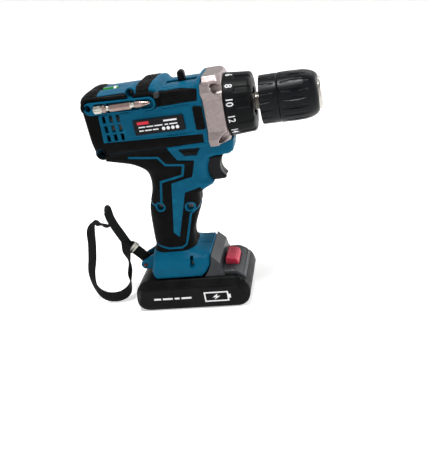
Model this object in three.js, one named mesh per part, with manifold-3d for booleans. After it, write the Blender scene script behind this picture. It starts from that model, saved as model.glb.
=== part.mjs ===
// Cordless drill driver: pistol grip housing in two halves, a two-stage planetary gearbox, a clutch ring,
// a keyless three-jaw chuck and a slide-on battery. Millimetres, +Z up, +X towards the chuck's nose.
// The origin is the centre of the battery's underside, which is what the drill stands on.
import * as THREE from "three";
import { mergeVertices } from "three/addons/utils/BufferGeometryUtils.js";
import Module from "manifold-3d";

const wasm = await Module();
wasm.setup();

// ---- driving dimensions ----
const AXIS_Z = 187; // height of the spindle axis
const GAP = 0.3; // clearance between neighbouring pieces
const SKIN = 1.6; // thickness of the rubber overmould
const WALL = 3.4; // from the outer surface to the hollow inside

const BARREL = { rear: -60.2, front: 43.7, halfWidth: 29.6, top: 215.6, bottom: 157 };
const GRIP_HALF_WIDTH = 18;
const FOOT = { bottom: 31.4, top: 56, halfWidth: 28.5 };
const COLLAR = { rear: 44, front: 61.6, bore: 22.4, frontBore: 20 };
const RING = { rear: 61.9, front: 84.4, rearRadius: 26.6, frontRadius: 24.85, bore: 20.2 };
const CHUCK = { rear: 89.9, split: 105.6, front: 140.6, radius: 20.45, noseRadius: 11.6, bore: 5.4 };
const JAW = { radius: 3.2, slope: 15, noseX: 138, noseCentre: 6.1, length: 23, opening: 3.5 };
const GEAR = { module: 0.75, sun: 12, planet: 15, ring: 42, backlash: 0.34, pressure: 25 };
const STAGE = [
  { rear: 17, front: 24 },
  { rear: 28.6, front: 35.6 },
];
const MOTOR = { rear: -46.5, front: 9, radius: 18.5, shaft: 1.6 };
const TRIGGER = { rear: 31, front: 50, bottom: 121.6, top: 145, halfWidth: 7.2 };
const BATTERY = { halfLength: 57.6, halfWidth: 35.15, split: 24.6, deck: 31, corner: 12, chamfer: 6 };
const CELL = { radius: 9.2, length: 65, pitch: 19.2, height: 13 };
const RAIL = { rear: -30, front: 13, halfWidth: 17, top: 37.4 };
const PIN = { x: -46.3, z: 40.3, radius: 1.9, halfLength: 12.6 };
const WEBBING = { width: 11, thickness: 1.3, foldedThickness: 2.4 };
const TRAY = { rear: -54.4, front: 7.6, bottom: 199.6, top: 211.8, corner: 6, outer: -33, inner: -27.8 };
const BIT = { y: -32.3, z: 205.7, rear: -45, front: 3.4, hexRear: -44, hexFront: -8 };
const SELECTOR = { rear: 17, front: 34, halfWidth: 4.4, bottom: 210.8, top: 213.6 };
const SELECTOR_SLOT = { rear: 11.4, front: 39.8, halfWidth: 4.8 };
const VIAL = { rear: -45.5, front: -31.5, z: 214.4, radius: 3.2 };
const LED = { from: [53.2, 0, 143.4], to: [56, 0, 151.4], radius: 3 };
const CHIN_TOP = 159.8; // height of the housing's nose under the collar

// x and z of each housing screw's axis, and the distance of its head from the middle plane
const HOUSING_SCREWS = [
  [-13.2, 209.6, 22],
  [-52, 165.5, 18],
  [-14.7, 104.8, 13],
  [13.2, 101.9, 13],
  [5.8, 43, 22],
  [-50.2, 205.6, 22],
];
const COLLAR_SCREW = { y: 24.6, dz: 19.6, radius: 3 };

const FINISH = {
  teal: { color: 0x0f86a0, roughness: 0.42, metalness: 0 },
  rubber: { color: 0x2b2c2e, roughness: 0.8, metalness: 0 },
  black: { color: 0x1f2022, roughness: 0.5, metalness: 0 },
  grey: { color: 0x55595c, roughness: 0.5, metalness: 0 },
  silver: { color: 0xbdb5b6, roughness: 0.35, metalness: 0.6 },
  steel: { color: 0x9a9a9a, roughness: 0.25, metalness: 1 },
  brass: { color: 0xb08d45, roughness: 0.4, metalness: 0.9 },
  red: { color: 0xc0404c, roughness: 0.5, metalness: 0 },
  lens: { color: 0xd8e6e8, roughness: 0.1, metalness: 0 },
  green: { color: 0x7ec34a, roughness: 0.15, metalness: 0 },
  webbing: { color: 0x26272a, roughness: 0.9, metalness: 0 },
};

// ---- building tools ----
const Y_FROM_XZ = new THREE.Matrix4().makeBasis(
  new THREE.Vector3(1, 0, 0),
  new THREE.Vector3(0, 0, 1),
  new THREE.Vector3(0, -1, 0),
);
const X_FROM_YZ = new THREE.Matrix4().makeBasis(
  new THREE.Vector3(0, 1, 0),
  new THREE.Vector3(0, 0, 1),
  new THREE.Vector3(1, 0, 0),
);
const degrees = (angle) => THREE.MathUtils.degToRad(angle);
const vectors = (points) => points.map(([u, v]) => new THREE.Vector2(u, v));

// A closed three.js geometry as a manifold-3d solid.
function solid(geometry) {
  const bare = new THREE.BufferGeometry();
  bare.setAttribute("position", geometry.getAttribute("position"));
  if (geometry.index) bare.setIndex(geometry.index);
  const merged = mergeVertices(bare, 1e-4);
  const triVerts = [];
  for (let i = 0; i < merged.index.count; i += 3) {
    const [a, b, c] = [0, 1, 2].map((k) => merged.index.getX(i + k));
    if (a !== b && b !== c && c !== a) triVerts.push(a, b, c);
  }
  const mesh = new wasm.Mesh({
    numProp: 3,
    vertProperties: new Float32Array(merged.attributes.position.array),
    triVerts: new Uint32Array(triVerts),
  });
  return new wasm.Manifold(mesh);
}

const join = (first, ...others) => others.reduce((sum, other) => sum.add(other), first);
const cut = (first, ...others) => others.reduce((rest, other) => rest.subtract(other), first);

function box(x0, x1, y0, y1, z0, z1) {
  const geometry = new THREE.BoxGeometry(x1 - x0, y1 - y0, z1 - z0);
  return solid(geometry.translate((x0 + x1) / 2, (y0 + y1) / 2, (z0 + z1) / 2));
}

// A rod between two points.
function rod(from, to, radius, sides = 12) {
  const start = new THREE.Vector3(...from);
  const along = new THREE.Vector3(...to).sub(start);
  const geometry = new THREE.CylinderGeometry(radius, radius, along.length(), sides);
  geometry.translate(0, along.length() / 2, 0);
  const turn = new THREE.Quaternion().setFromUnitVectors(new THREE.Vector3(0, 1, 0), along.normalize());
  return solid(geometry.applyQuaternion(turn).translate(start.x, start.y, start.z));
}

// A body of revolution about the spindle axis, from [x, radius] pairs: the outside runs towards +X.
function turned(profile, sides = 24) {
  const geometry = new THREE.LatheGeometry(vectors(profile.map(([x, r]) => [r, x])), sides);
  return solid(geometry.rotateZ(-Math.PI / 2).translate(0, 0, AXIS_Z));
}

// A ring about the spindle axis, rectangular in section.
const bush = (rear, front, outer, inner, sides = 24) =>
  turned([[rear, inner], [rear, outer], [front, outer], [front, inner], [rear, inner]], sides);

// An outline in X and Z made into a plate across Y, its edges rounded by bevel.
function plate(points, y0, y1, bevel = 0) {
  const geometry = new THREE.ExtrudeGeometry(new THREE.Shape(vectors(points)), {
    depth: y1 - y0 - 2 * bevel,
    bevelEnabled: bevel > 0,
    bevelThickness: bevel,
    bevelSize: bevel,
    bevelOffset: -bevel,
    bevelSegments: 2,
  });
  return solid(geometry.translate(0, 0, bevel).applyMatrix4(Y_FROM_XZ).translate(0, y1, 0));
}

// An outline in Y and Z made into a bar along X, with an optional hole.
function bar(points, x0, x1, hole) {
  const shape = new THREE.Shape(vectors(points));
  if (hole) shape.holes.push(new THREE.Path(vectors(hole)));
  const geometry = new THREE.ExtrudeGeometry(shape, { depth: x1 - x0, bevelEnabled: false });
  return solid(geometry.applyMatrix4(X_FROM_YZ).translate(x0, 0, 0));
}

// The outline moved inwards by a distance, its corners kept sharp. A negative distance moves it outwards.
function inset(points, distance) {
  const count = points.length;
  const turn = Math.sign(THREE.ShapeUtils.area(vectors(points)));
  return points.map(([u, v], i) => {
    const [pu, pv] = points[(i + count - 1) % count];
    const [nu, nv] = points[(i + 1) % count];
    const before = new THREE.Vector2(pv - v, u - pu).normalize();
    const after = new THREE.Vector2(v - nv, nu - u).normalize();
    const mean = before.clone().add(after).normalize();
    const step = (turn * distance) / Math.max(mean.dot(after), 0.35);
    return [u + mean.x * step, v + mean.y * step];
  });
}

// Points of a smooth curve through a few chosen ones.
function curve(points, count) {
  return new THREE.SplineCurve(vectors(points)).getPoints(count).map((p) => [p.x, p.y]);
}

function ringPoints(radius, count, centre = [0, 0]) {
  return Array.from({ length: count }, (_, i) => {
    const angle = (2 * Math.PI * i) / count;
    return [centre[0] + radius * Math.cos(angle), centre[1] + radius * Math.sin(angle)];
  });
}

// A rectangle with round corners, as an outline.
function roundedOutline(u0, u1, v0, v1, radius, steps = 4) {
  const corners = [
    [u1 - radius, v0 + radius, -90],
    [u1 - radius, v1 - radius, 0],
    [u0 + radius, v1 - radius, 90],
    [u0 + radius, v0 + radius, 180],
  ];
  return corners.flatMap(([u, v, start]) =>
    Array.from({ length: steps + 1 }, (_, i) => {
      const angle = degrees(start + (90 * i) / steps);
      return [u + radius * Math.cos(angle), v + radius * Math.sin(angle)];
    }),
  );
}

// A coil spring along X about a given axis.
class Helix extends THREE.Curve {
  constructor(x0, x1, y, z, radius, turns) {
    super();
    Object.assign(this, { x0, x1, y, z, radius, turns });
  }
  getPoint(t, target = new THREE.Vector3()) {
    const angle = 2 * Math.PI * this.turns * t;
    return target.set(
      this.x0 + (this.x1 - this.x0) * t,
      this.y + this.radius * Math.cos(angle),
      this.z + this.radius * Math.sin(angle),
    );
  }
}

function spring(x0, x1, y, z, radius, wire, turns) {
  const section = new THREE.Shape(vectors(ringPoints(wire, 5)));
  const extrudePath = new Helix(x0, x1, y, z, radius, turns);
  return solid(new THREE.ExtrudeGeometry(section, { steps: turns * 12, extrudePath }));
}

const drill = new THREE.Group();

// Adds one finished piece to the drill under its own name.
function add(name, shape, finish) {
  const { vertProperties, triVerts } = shape.getMesh();
  const geometry = new THREE.BufferGeometry();
  geometry.setAttribute("position", new THREE.BufferAttribute(vertProperties, 3));
  geometry.setIndex(new THREE.BufferAttribute(triVerts, 1));
  geometry.computeVertexNormals();
  const mesh = new THREE.Mesh(geometry, new THREE.MeshStandardMaterial(FINISH[finish]));
  mesh.name = name;
  drill.add(mesh);
}

// ---- housing: the outer form, moved inwards by a distance ----
const BARREL_SECTION = [
  [13, BARREL.top],
  [24, BARREL.top - 2.2],
  [BARREL.halfWidth, BARREL.top - 9],
  [BARREL.halfWidth, BARREL.bottom + 16],
  [BARREL.halfWidth - 3, BARREL.bottom + 3],
  [BARREL.halfWidth - 8, BARREL.bottom],
];
const BARREL_SIDE = [
  [BARREL.front + 3, BARREL.top + 1],
  [BARREL.rear + 7, BARREL.top + 1],
  [BARREL.rear, BARREL.top - 7],
  [BARREL.rear, BARREL.bottom + 12],
  [BARREL.rear + 6, BARREL.bottom - 1],
  [BARREL.front + 3, BARREL.bottom - 1],
];
const GRIP_REAR = [
  [-32, 46],
  [-31.6, 74.7],
  [-28.6, 100.9],
  [-22, 119.3],
  [-19.9, 132],
  [-23.2, 142.9],
  [-33, 149.5],
  [-54, 155.4],
];
const GRIP_FRONT = [
  [36.8, 118.4],
  [28.8, 114.6],
  [22.2, 110.5],
  [20.4, 100],
  [12.7, 81.4],
  [8, 66],
  [7.6, 46],
];
const GRIP_SIDE = [
  ...curve(GRIP_REAR, 20),
  [-54, 170],
  [62, 170],
  [62.3, 155.7],
  [60.4, 148.6],
  [57, 146.4],
  [38.6, 145.8],
  [35.4, 137],
  [35, 128.4],
  [38.8, 121],
  ...curve(GRIP_FRONT, 16),
];
const FOOT_SIDE = [
  [-31.6, FOOT.top],
  [-36.4, 36],
  [-32.8, FOOT.bottom],
  [12.9, FOOT.bottom],
  [30, FOOT.top],
];
const FOOT_SECTION = [
  [20, FOOT.top + 2],
  [FOOT.halfWidth - 4, 50],
  [FOOT.halfWidth, 36],
  [FOOT.halfWidth, 28],
];

// Both sides of an outline given for y > 0.
const mirrored = (points) => [...points, ...points.map(([y, z]) => [-y, z]).reverse()];

function outerForm(depth) {
  const barrel = bar(inset(mirrored(BARREL_SECTION), depth), BARREL.rear, BARREL.front)
    .intersect(plate(inset(BARREL_SIDE, depth), -40, 40));
  const half = GRIP_HALF_WIDTH - depth;
  const grip = plate(inset(GRIP_SIDE, depth), -half, half)
    .subtract(box(BARREL.front, 70, -30, 30, CHIN_TOP - depth, 180));
  const foot = plate(inset(FOOT_SIDE, depth), -40, 40)
    .intersect(bar(inset(mirrored(FOOT_SECTION), depth), -60, 60));
  return join(barrel, grip, foot);
}

// The rubber covers the rear cap, an upper and a lower band and a strip over the top, and most of the grip.
const CAP_ZONE = [
  [-70, 157.4],
  [9, 157.4],
  [12, 162],
  [42, 164],
  [42, 173.4],
  [-46.5, 175.4],
  [-45, 199.6],
  [42, 201.2],
  [42, 211.6],
  [5, 213],
  [7, 230],
  [-5, 230],
  [-10, 211],
  [-47, 211],
  [-47, 230],
  [-70, 230],
];
const GRIP_ZONE = [
  [-60, 140],
  [-60, 156.8],
  [6, 156.8],
  [11.8, 149],
  [26.5, 147.2],
  [21.5, 131.5],
  [0.9, 127],
  [-7.8, 76.9],
  [-3, 71.5],
  [11.5, 116.8],
  [25, 119.5],
  [25, 58],
  [-60, 58],
];
const zone = (points, grow) => plate(inset(points, -grow), -50, 50);
// The strip above the bit tray joins the rear cap to the band over the top.
const SHOULDER = { rear: -48, front: -7, inner: 19, outer: 41, top: 214.2 };
function shoulderStrip(side, grow) {
  const [near, far] = [side * (SHOULDER.inner - grow), side * (SHOULDER.outer + grow)].sort((a, b) => a - b);
  return box(SHOULDER.rear - grow, SHOULDER.front + grow, near, far, 210, SHOULDER.top + grow);
}
const capZone = (grow) => join(zone(CAP_ZONE, grow), shoulderStrip(-1, grow), shoulderStrip(1, grow));

const skinned = outerForm(SKIN + GAP);
const whole = outerForm(0);
const bare = whole.subtract(join(capZone(GAP), zone(GRIP_ZONE, GAP)));
const hollow = outerForm(WALL);
const rubber = whole.subtract(outerForm(SKIN));

// Slots that let the motor's cooling air in, three rows of three on each side.
function vents() {
  const slots = [];
  for (const x of [-41, -34.6, -28.3])
    for (const z of [195.5, 187.2, 179.2]) slots.push(box(x - 1.1, x + 1.1, -50, 50, z - 3, z + 3));
  return slots;
}

// A pillar that a housing screw passes through, hollow along its middle and open at the screw's head.
const pillar = ([x, z]) => rod([x, -40, z], [x, 40, z], 4.6, 8).intersect(skinned);
const screwHole = ([x, z, head]) =>
  join(rod([x, -head, z], [x, 9, z], 2, 8), rod([x, -40, z], [x, -head + 3, z], 3.7, 8));

function trayOutline(grow) {
  const { rear, front, bottom, top, corner } = TRAY;
  return roundedOutline(rear - grow, front + grow, bottom - grow, top + grow, corner + grow, 5);
}
const BUTTON_OUTLINE = [
  [14.6, 159.2],
  [34, 158.6],
  [29.6, 152.2],
  [19.4, 152.8],
];
const buttonOutline = (grow) => inset(BUTTON_OUTLINE, -grow);

const openings = join(
  ...vents(),
  box(COLLAR.rear - 12, 80, -19, 19, AXIS_Z - 22.6, AXIS_Z + 19),
  rod([BARREL.front - 9, 0, AXIS_Z], [80, 0, AXIS_Z], COLLAR.bore + GAP, 32),
  box(30, 60, -TRIGGER.halfWidth - 0.5, TRIGGER.halfWidth + 0.5, TRIGGER.bottom - 0.6, TRIGGER.top + 0.6),
  plate(buttonOutline(0.4), -50, 50),
  plate(trayOutline(GAP), -50, TRAY.inner + 0.4),
  box(SELECTOR_SLOT.rear, SELECTOR_SLOT.front, -SELECTOR_SLOT.halfWidth, SELECTOR_SLOT.halfWidth, 205, 230),
  box(VIAL.rear - 1, VIAL.front + 1, -4.4, 4.4, VIAL.z - VIAL.radius - 0.4, 230),
  rod([MOTOR.rear - 1, 0, AXIS_Z], [BARREL.front, 0, AXIS_Z], MOTOR.radius + GAP, 32),
  box(RAIL.rear - 3, 40, -RAIL.halfWidth - 0.5, RAIL.halfWidth + 0.5, 20, RAIL.top + 0.5),
  rod([52, 0, 140], [56.2, 0, 152], 3.3, 12),
);
const LUG = { y: 10.2, halfThickness: 2 };
const lugSide = [
  [PIN.x - 3, PIN.z - 4],
  [PIN.x + 3, PIN.z - 4.8],
  [-33, 36],
  [-33, 51],
  [PIN.x, PIN.z + 5],
  [PIN.x - 5, PIN.z + 1],
];
const rearLugs = [-LUG.y, LUG.y].map((y) => plate(lugSide, y - LUG.halfThickness, y + LUG.halfThickness));
const chinRib = box(44, 60, -1.6, 1.6, 147, 160).subtract(rod([52, 0, 140], [56.2, 0, 152], 3.9, 12));
const shell = cut(
  join(join(skinned, bare).subtract(hollow), ...HOUSING_SCREWS.map(pillar), ...rearLugs, chinRib.intersect(whole)),
  openings,
  ...HOUSING_SCREWS.map(screwHole),
  rod([PIN.x, -20, PIN.z], [PIN.x, 20, PIN.z], PIN.radius + 0.2, 12),
);
const overmould = cut(rubber, plate(trayOutline(2 * GAP), -50, 0), ...HOUSING_SCREWS.map(screwHole));
const rightSide = box(-100, 100, -50, -GAP / 2, 0, 240);
const leftSide = box(-100, 100, GAP / 2, 50, 0, 240);
for (const [side, region] of [["right", rightSide], ["left", leftSide]]) {
  add(`${side}_housing`, shell.intersect(region), "teal");
  add(`${side}_overmold`, overmould.intersect(capZone(0)).intersect(region), "rubber");
  add(`${side}_grip`, overmould.intersect(zone(GRIP_ZONE, 0)).intersect(region), "rubber");
}

// ---- housing fittings ----
HOUSING_SCREWS.forEach(([x, z, head], i) => {
  const shank = rod([x, -head + 1, z], [x, 8, z], 1.5, 6);
  add(`housing_screw_${i + 1}`, join(shank, rod([x, -head + 0.2, z], [x, -head + 2.8, z], 3.1, 8)), "steel");
});

const trayPocket = plate(roundedOutline(-46, 5.4, 202, 209.4, 3.6, 3), -40, -29);
const trayBoss = rod([-50.2, -40, 205.6], [-50.2, -29, 205.6], 2.6, 12);
add("bit_tray", cut(plate(trayOutline(0), TRAY.outer, TRAY.inner), trayPocket, trayBoss), "teal");
const hexShank = bar(ringPoints(3, 6, [BIT.y, BIT.z]), BIT.hexRear, BIT.hexFront);
const bitCore = rod([BIT.rear, BIT.y, BIT.z], [BIT.front, BIT.y, BIT.z], 2.2, 8);
add("screwdriver_bit", join(hexShank, bitCore), "steel");
const sideFace = -BARREL.halfWidth - GAP;
add("bit_magnet", box(8, 12, TRAY.outer, sideFace, 208.6, 212.6), "grey");
add("rating_label", box(-16, 27.8, sideFace - 0.5, sideFace, 179, 192), "black");
add("level_vial", rod([VIAL.rear, 0, VIAL.z], [VIAL.front, 0, VIAL.z], VIAL.radius, 12), "green");
add("led_lens", rod(LED.from, LED.to, LED.radius, 12), "lens");
add("strap_pin", rod([PIN.x, -PIN.halfLength, PIN.z], [PIN.x, PIN.halfLength, PIN.z], PIN.radius, 12), "steel");
const CONTACTS = [-9, -3, 3, 9]; // y of each battery contact
const blades = CONTACTS.map((y) => box(-26, -16, y - 0.5, y + 0.5, 37, 41));
add("battery_terminal_block", join(box(-28, -14, -13, 13, 40.5, 48), ...blades), "black");

// ---- gearbox collar: an eight-sided casting with a screw lobe at each corner ----
const COLLAR_OUTLINE = [
  [11, 216.6],
  [20, 212],
  [29.6, 203],
  [29.6, 171],
  [22, 160],
  [12, 157.2],
];
const LOBE_CORNERS = [
  [-1, 1],
  [-1, -1],
  [1, 1],
  [1, -1],
];
const lobes = [];
const lobeHoles = [];
for (const [i, [sy, sz]] of LOBE_CORNERS.entries()) {
  const [y, z] = [sy * COLLAR_SCREW.y, AXIS_Z + sz * COLLAR_SCREW.dz];
  lobes.push(rod([COLLAR.rear, y, z], [COLLAR.front - 2, y, z], 6.6, 16));
  lobeHoles.push(rod([COLLAR.front - 9, y, z], [COLLAR.front + 5, y, z], 3.9, 16));
  lobeHoles.push(rod([COLLAR.rear - 5, y, z], [COLLAR.front, y, z], 1.9, 8));
  const head = rod([COLLAR.front - 8.6, y, z], [COLLAR.front - 6, y, z], COLLAR_SCREW.radius, 12);
  const shank = rod([COLLAR.rear + 1, y, z], [COLLAR.front - 8, y, z], 1.5, 8);
  add(`collar_screw_${i + 1}`, join(head, shank), "steel");
}
add("gearbox_collar", cut(
  join(bar(mirrored(COLLAR_OUTLINE), COLLAR.rear, COLLAR.front), ...lobes),
  rod([COLLAR.rear - 1, 0, AXIS_Z], [COLLAR.front - 3, 0, AXIS_Z], COLLAR.bore, 32),
  rod([0, 0, AXIS_Z], [COLLAR.front + 1, 0, AXIS_Z], COLLAR.frontBore, 32),
  box(COLLAR.rear - 1, COLLAR.front + 1, -60, 60, 140, 162),
  ...lobeHoles,
), "silver");

// ---- motor ----
const motorProfile = [
  [MOTOR.rear, 2.2],
  [MOTOR.rear, MOTOR.radius - 2],
  [MOTOR.rear + 2, MOTOR.radius],
  [MOTOR.front, MOTOR.radius],
  [MOTOR.front, 2.2],
  [MOTOR.front - 1.6, 2.2],
  [MOTOR.front - 1.6, MOTOR.radius - 1.6],
  [MOTOR.rear + 1.6, MOTOR.radius - 1.6],
  [MOTOR.rear + 1.6, 2.2],
  [MOTOR.rear, 2.2],
];
add("motor_can", turned(motorProfile), "grey");
add("rotor", join(
  rod([-50, 0, AXIS_Z], [STAGE[0].front + 0.2, 0, AXIS_Z], MOTOR.shaft, 12),
  rod([-34, 0, AXIS_Z], [2, 0, AXIS_Z], 14, 24),
  rod([-44, 0, AXIS_Z], [-36, 0, AXIS_Z], 6, 16),
), "brass");

// ---- gears: involute teeth, four points to a tooth ----
const involute = (angle) => Math.tan(angle) - angle;

// The outline of a spur gear. A ring gear's hole is the same outline, with a wider tooth.
function gearOutline(teeth, tip, root, widen, phase = 0) {
  const pitch = (GEAR.module * teeth) / 2;
  const base = pitch * Math.cos(degrees(GEAR.pressure));
  const atPitch = Math.PI / (2 * teeth) + widen / (2 * pitch) + involute(degrees(GEAR.pressure));
  const half = (r) => atPitch - involute(Math.acos(Math.min(1, base / r)));
  const flank = [pitch - root, pitch + tip].map((r) => [r, half(Math.max(r, base))]);
  const points = [];
  for (let tooth = 0; tooth < teeth; tooth++) {
    const middle = phase + (2 * Math.PI * tooth) / teeth;
    for (const [r, spread] of flank) points.push([r, middle - spread]);
    for (const [r, spread] of [...flank].reverse()) points.push([r, middle + spread]);
  }
  return points.map(([r, angle]) => [r * Math.cos(angle), r * Math.sin(angle)]);
}

const ADDENDUM = 0.85 * GEAR.module;
const DEDENDUM = 1.2 * GEAR.module;
const externalGear = (teeth) => gearOutline(teeth, ADDENDUM, DEDENDUM, -GEAR.backlash / 2);
const atAxis = (shape) => shape.translate([0, 0, AXIS_Z]);
const CENTRES = (GEAR.module * (GEAR.sun + GEAR.planet)) / 2;
const CARRIER_PIN = 1.7;

const pinion = bar(externalGear(GEAR.sun), STAGE[0].rear, STAGE[0].front, ringPoints(MOTOR.shaft + GAP, 10));
add("motor_pinion", atAxis(pinion), "steel");
for (const [stage, { rear, front }] of STAGE.entries()) {
  const planet = bar(externalGear(GEAR.planet), rear, front, ringPoints(CARRIER_PIN + GAP, 8));
  for (let i = 0; i < 3; i++) {
    const placed = planet.translate([0, CENTRES, 0]).rotate([120 * i, 0, 0]);
    add(`stage${stage + 1}_planet_${i + 1}`, atAxis(placed), "steel");
  }
}

// A disc that carries one stage's three planet pins.
function carrier({ rear, front }) {
  const pins = [0, 120, 240].map((angle) => {
    const [y, z] = [CENTRES * Math.cos(degrees(angle)), AXIS_Z + CENTRES * Math.sin(degrees(angle))];
    return rod([rear, y, z], [front + 1, y, z], CARRIER_PIN, 8);
  });
  return join(bush(front + 0.5, front + 3, 13.6, 0.01, 24), ...pins);
}
const secondSun = atAxis(bar(externalGear(GEAR.sun), STAGE[0].front + 2.5, STAGE[1].front));
add("stage1_carrier", join(carrier(STAGE[0]), secondSun), "steel");
const ringHole = gearOutline(GEAR.ring, DEDENDUM, 0.7 * GEAR.module, GEAR.backlash / 2);
const ringGear = bar(ringPoints(19, 36), STAGE[0].rear - 0.5, STAGE[1].front + 0.5, ringHole);
add("ring_gear", atAxis(ringGear), "steel");

// ---- gearbox case, bearing, spindle ----
add("gearbox_case", turned([
  [12, 7],
  [12, 22],
  [46, 22],
  [46, 17.2],
  [79, 17.2],
  [79, 11.2],
  [45, 11.2],
  [42.5, 19.4],
  [14.4, 19.4],
  [14.4, 7],
  [12, 7],
]), "grey");
add("output_bearing", bush(69, 78, 10.8, 5.4, 24), "steel");
const spindleShaft = turned([
  [STAGE[1].front + 1, 0],
  [STAGE[1].front + 1, 5],
  [79.5, 5],
  [79.5, 7],
  [CHUCK.rear - GAP, 7],
  [CHUCK.rear - GAP, 5],
  [102.5, 5],
  [102.5, 1.9],
  [92, 1.9],
  [92, 0],
]);
add("spindle", join(carrier(STAGE[1]), spindleShaft), "steel");

// ---- clutch ----
add("clutch_spring", spring(64, 77, 0, AXIS_Z, 18.9, 0.8, 3), "steel");
const gripRibs = Array.from({ length: 12 }, (_, i) => {
  const angle = degrees(30 * i + 15);
  const [y, z] = [Math.cos(angle), Math.sin(angle)];
  return rod([70, 28.6 * y, AXIS_Z + 28.6 * z], [90, 27.4 * y, AXIS_Z + 27.4 * z], 3, 8);
});
add("torque_ring", cut(turned([
  [RING.rear, RING.bore],
  [RING.rear, RING.rearRadius],
  [82, RING.frontRadius],
  [RING.front, RING.frontRadius - 3],
  [RING.front, 12],
  [80.4, 12],
  [80.4, RING.bore],
  [RING.rear, RING.bore],
]), ...gripRibs), "black");

// ---- chuck ----
// A jaw lies in a slanting hole, so it closes as it moves forward. Its inner side is ground to a blunt wedge.
function jawRod(radius, backward, forward, angle) {
  const slope = Math.tan(degrees(JAW.slope));
  const point = (x) => [x, JAW.noseCentre + (JAW.noseX - x) * slope, 0];
  const jaw = rod(point(JAW.noseX - JAW.length - backward), point(JAW.noseX + forward), radius, 12);
  return jaw.rotate([angle, 0, 0]);
}
const jawAngles = [90, 210, 330];
const jawHoles = jawAngles.map((angle) => atAxis(jawRod(JAW.radius + GAP, 8, 20, angle)));
const innerThread = turned([
  [CHUCK.rear, 5.3],
  [CHUCK.rear, 14],
  [112, 14],
  [CHUCK.front, CHUCK.noseRadius],
  [CHUCK.front, CHUCK.bore + 1],
  [CHUCK.front - 2, CHUCK.bore],
  [105.4, CHUCK.bore],
  [105.4, 2],
  [103, 2],
  [103, 5.3],
  [CHUCK.rear, 5.3],
]);
add("chuck_body", cut(innerThread, ...jawHoles), "steel");
add("chuck_screw", join(
  rod([94, 0, AXIS_Z], [106, 0, AXIS_Z], 1.6, 10),
  rod([105.8, 0, AXIS_Z], [109, 0, AXIS_Z], 3.6, 12),
), "steel");
add("chuck_rear_sleeve", turned([
  [CHUCK.rear, 14.4],
  [CHUCK.rear, CHUCK.radius],
  [CHUCK.split - GAP, CHUCK.radius + 0.1],
  [CHUCK.split - GAP, 17.7],
  [CHUCK.rear + 3, 17.7],
  [CHUCK.rear + 3, 14.4],
  [CHUCK.rear, 14.4],
]), "black");
const NOSE = [
  [132.5, 18.9],
  [136, 17.6],
  [138.6, 15],
  [139.6, 12.4],
];
add("chuck_front_sleeve", turned([
  [CHUCK.split, 17.7],
  [CHUCK.split, CHUCK.radius + 0.1],
  ...curve(NOSE, 5),
  [139.6, 12.1],
  [136.6, 12.4],
  [126, 16.6],
  [120, 17.7],
  [CHUCK.split, 17.7],
]), "black");
const jawReach = 20;
const jawSpread = jawReach * Math.tan(degrees(58));
const JAW_WEDGE = [
  [JAW.opening, 0],
  [JAW.opening + jawReach, jawSpread],
  [JAW.opening + jawReach, -jawSpread],
];
jawAngles.forEach((angle, i) => {
  const wedge = bar(JAW_WEDGE, 100, JAW.noseX).rotate([angle, 0, 0]);
  const ends = bar(ringPoints(30, 12), JAW.noseX - JAW.length, JAW.noseX);
  const jaw = jawRod(JAW.radius, 2, 2, angle).intersect(wedge).intersect(ends);
  add(`chuck_jaw_${i + 1}`, atAxis(jaw), "steel");
});

// ---- controls ----
const FINGER_CURVE = [
  [TRIGGER.front + 0.6, TRIGGER.top],
  [47.2, 138.5],
  [46.2, 133],
  [TRIGGER.front, 124.4],
];
const triggerSide = [
  [TRIGGER.rear, TRIGGER.bottom],
  [TRIGGER.rear, TRIGGER.top],
  ...curve(FINGER_CURVE, 8),
  [48.4, TRIGGER.bottom],
];
add("trigger", plate(triggerSide, -TRIGGER.halfWidth, TRIGGER.halfWidth, 1.5), "black");
add("trigger_spring", spring(21.4, 30, 0, 133, 3.4, 0.6, 4), "steel");
add("switch_module", box(-6, 20, -11, 11, 122, 148), "black");
add("direction_button", plate(buttonOutline(0), -20.6, 20.6), "black");
const KNOB = [
  [22.6, 213.4],
  [28.6, 213.4],
  [28.4, 219.6],
  [27, 221.6],
  [24.4, 221.6],
  [22.9, 219.6],
];
const { rear, front, halfWidth, bottom, top } = SELECTOR;
const slide = box(rear, front, -halfWidth, halfWidth, bottom, top);
add("speed_selector", join(slide, plate(KNOB, -3.6, 3.6, 0.8)), "black");

// ---- battery ----
// The pack's side is a rectangle with round corners, and its long edges are chamfered.
function packForm(depth) {
  const { halfLength, halfWidth, deck, corner, chamfer } = BATTERY;
  const side = roundedOutline(depth - halfLength, halfLength - depth, depth, deck - depth, corner - depth, 4);
  const section = [
    [halfWidth - chamfer, deck],
    [halfWidth, deck - chamfer],
    [halfWidth, 3],
    [halfWidth - 2, 0],
  ];
  return plate(side, -50, 50).intersect(bar(inset(mirrored(section), depth), -80, 80));
}
const pack = packForm(0).subtract(packForm(2.2));
const low = box(-80, 80, -50, 50, -5, BATTERY.split);
const cells = [-2, -1, 0, 1, 2].map((i) => {
  const x = i * CELL.pitch;
  return rod([x, -CELL.length / 2, CELL.height], [x, CELL.length / 2, CELL.height], CELL.radius, 16);
});
const cellTie = box(-2 * CELL.pitch, 2 * CELL.pitch, -30, 30, CELL.height - 1, CELL.height + 1);
add("battery_lower_case", pack.intersect(low), "black");
add("cell_block", join(cellTie, ...cells), "green");
const railBlock = join(
  box(RAIL.rear, RAIL.front, -RAIL.halfWidth + 2.5, RAIL.halfWidth - 2.5, BATTERY.deck - 1, RAIL.top),
  box(RAIL.rear, RAIL.front, -RAIL.halfWidth, RAIL.halfWidth, RAIL.top - 3, RAIL.top),
);
const slotAt = (y) => box(RAIL.rear - 1, -14, y - 1, y + 1, BATTERY.deck + 1, RAIL.top + 1);
const upperShell = pack.intersect(box(-80, 80, -50, 50, BATTERY.split + GAP, 60));
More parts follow.
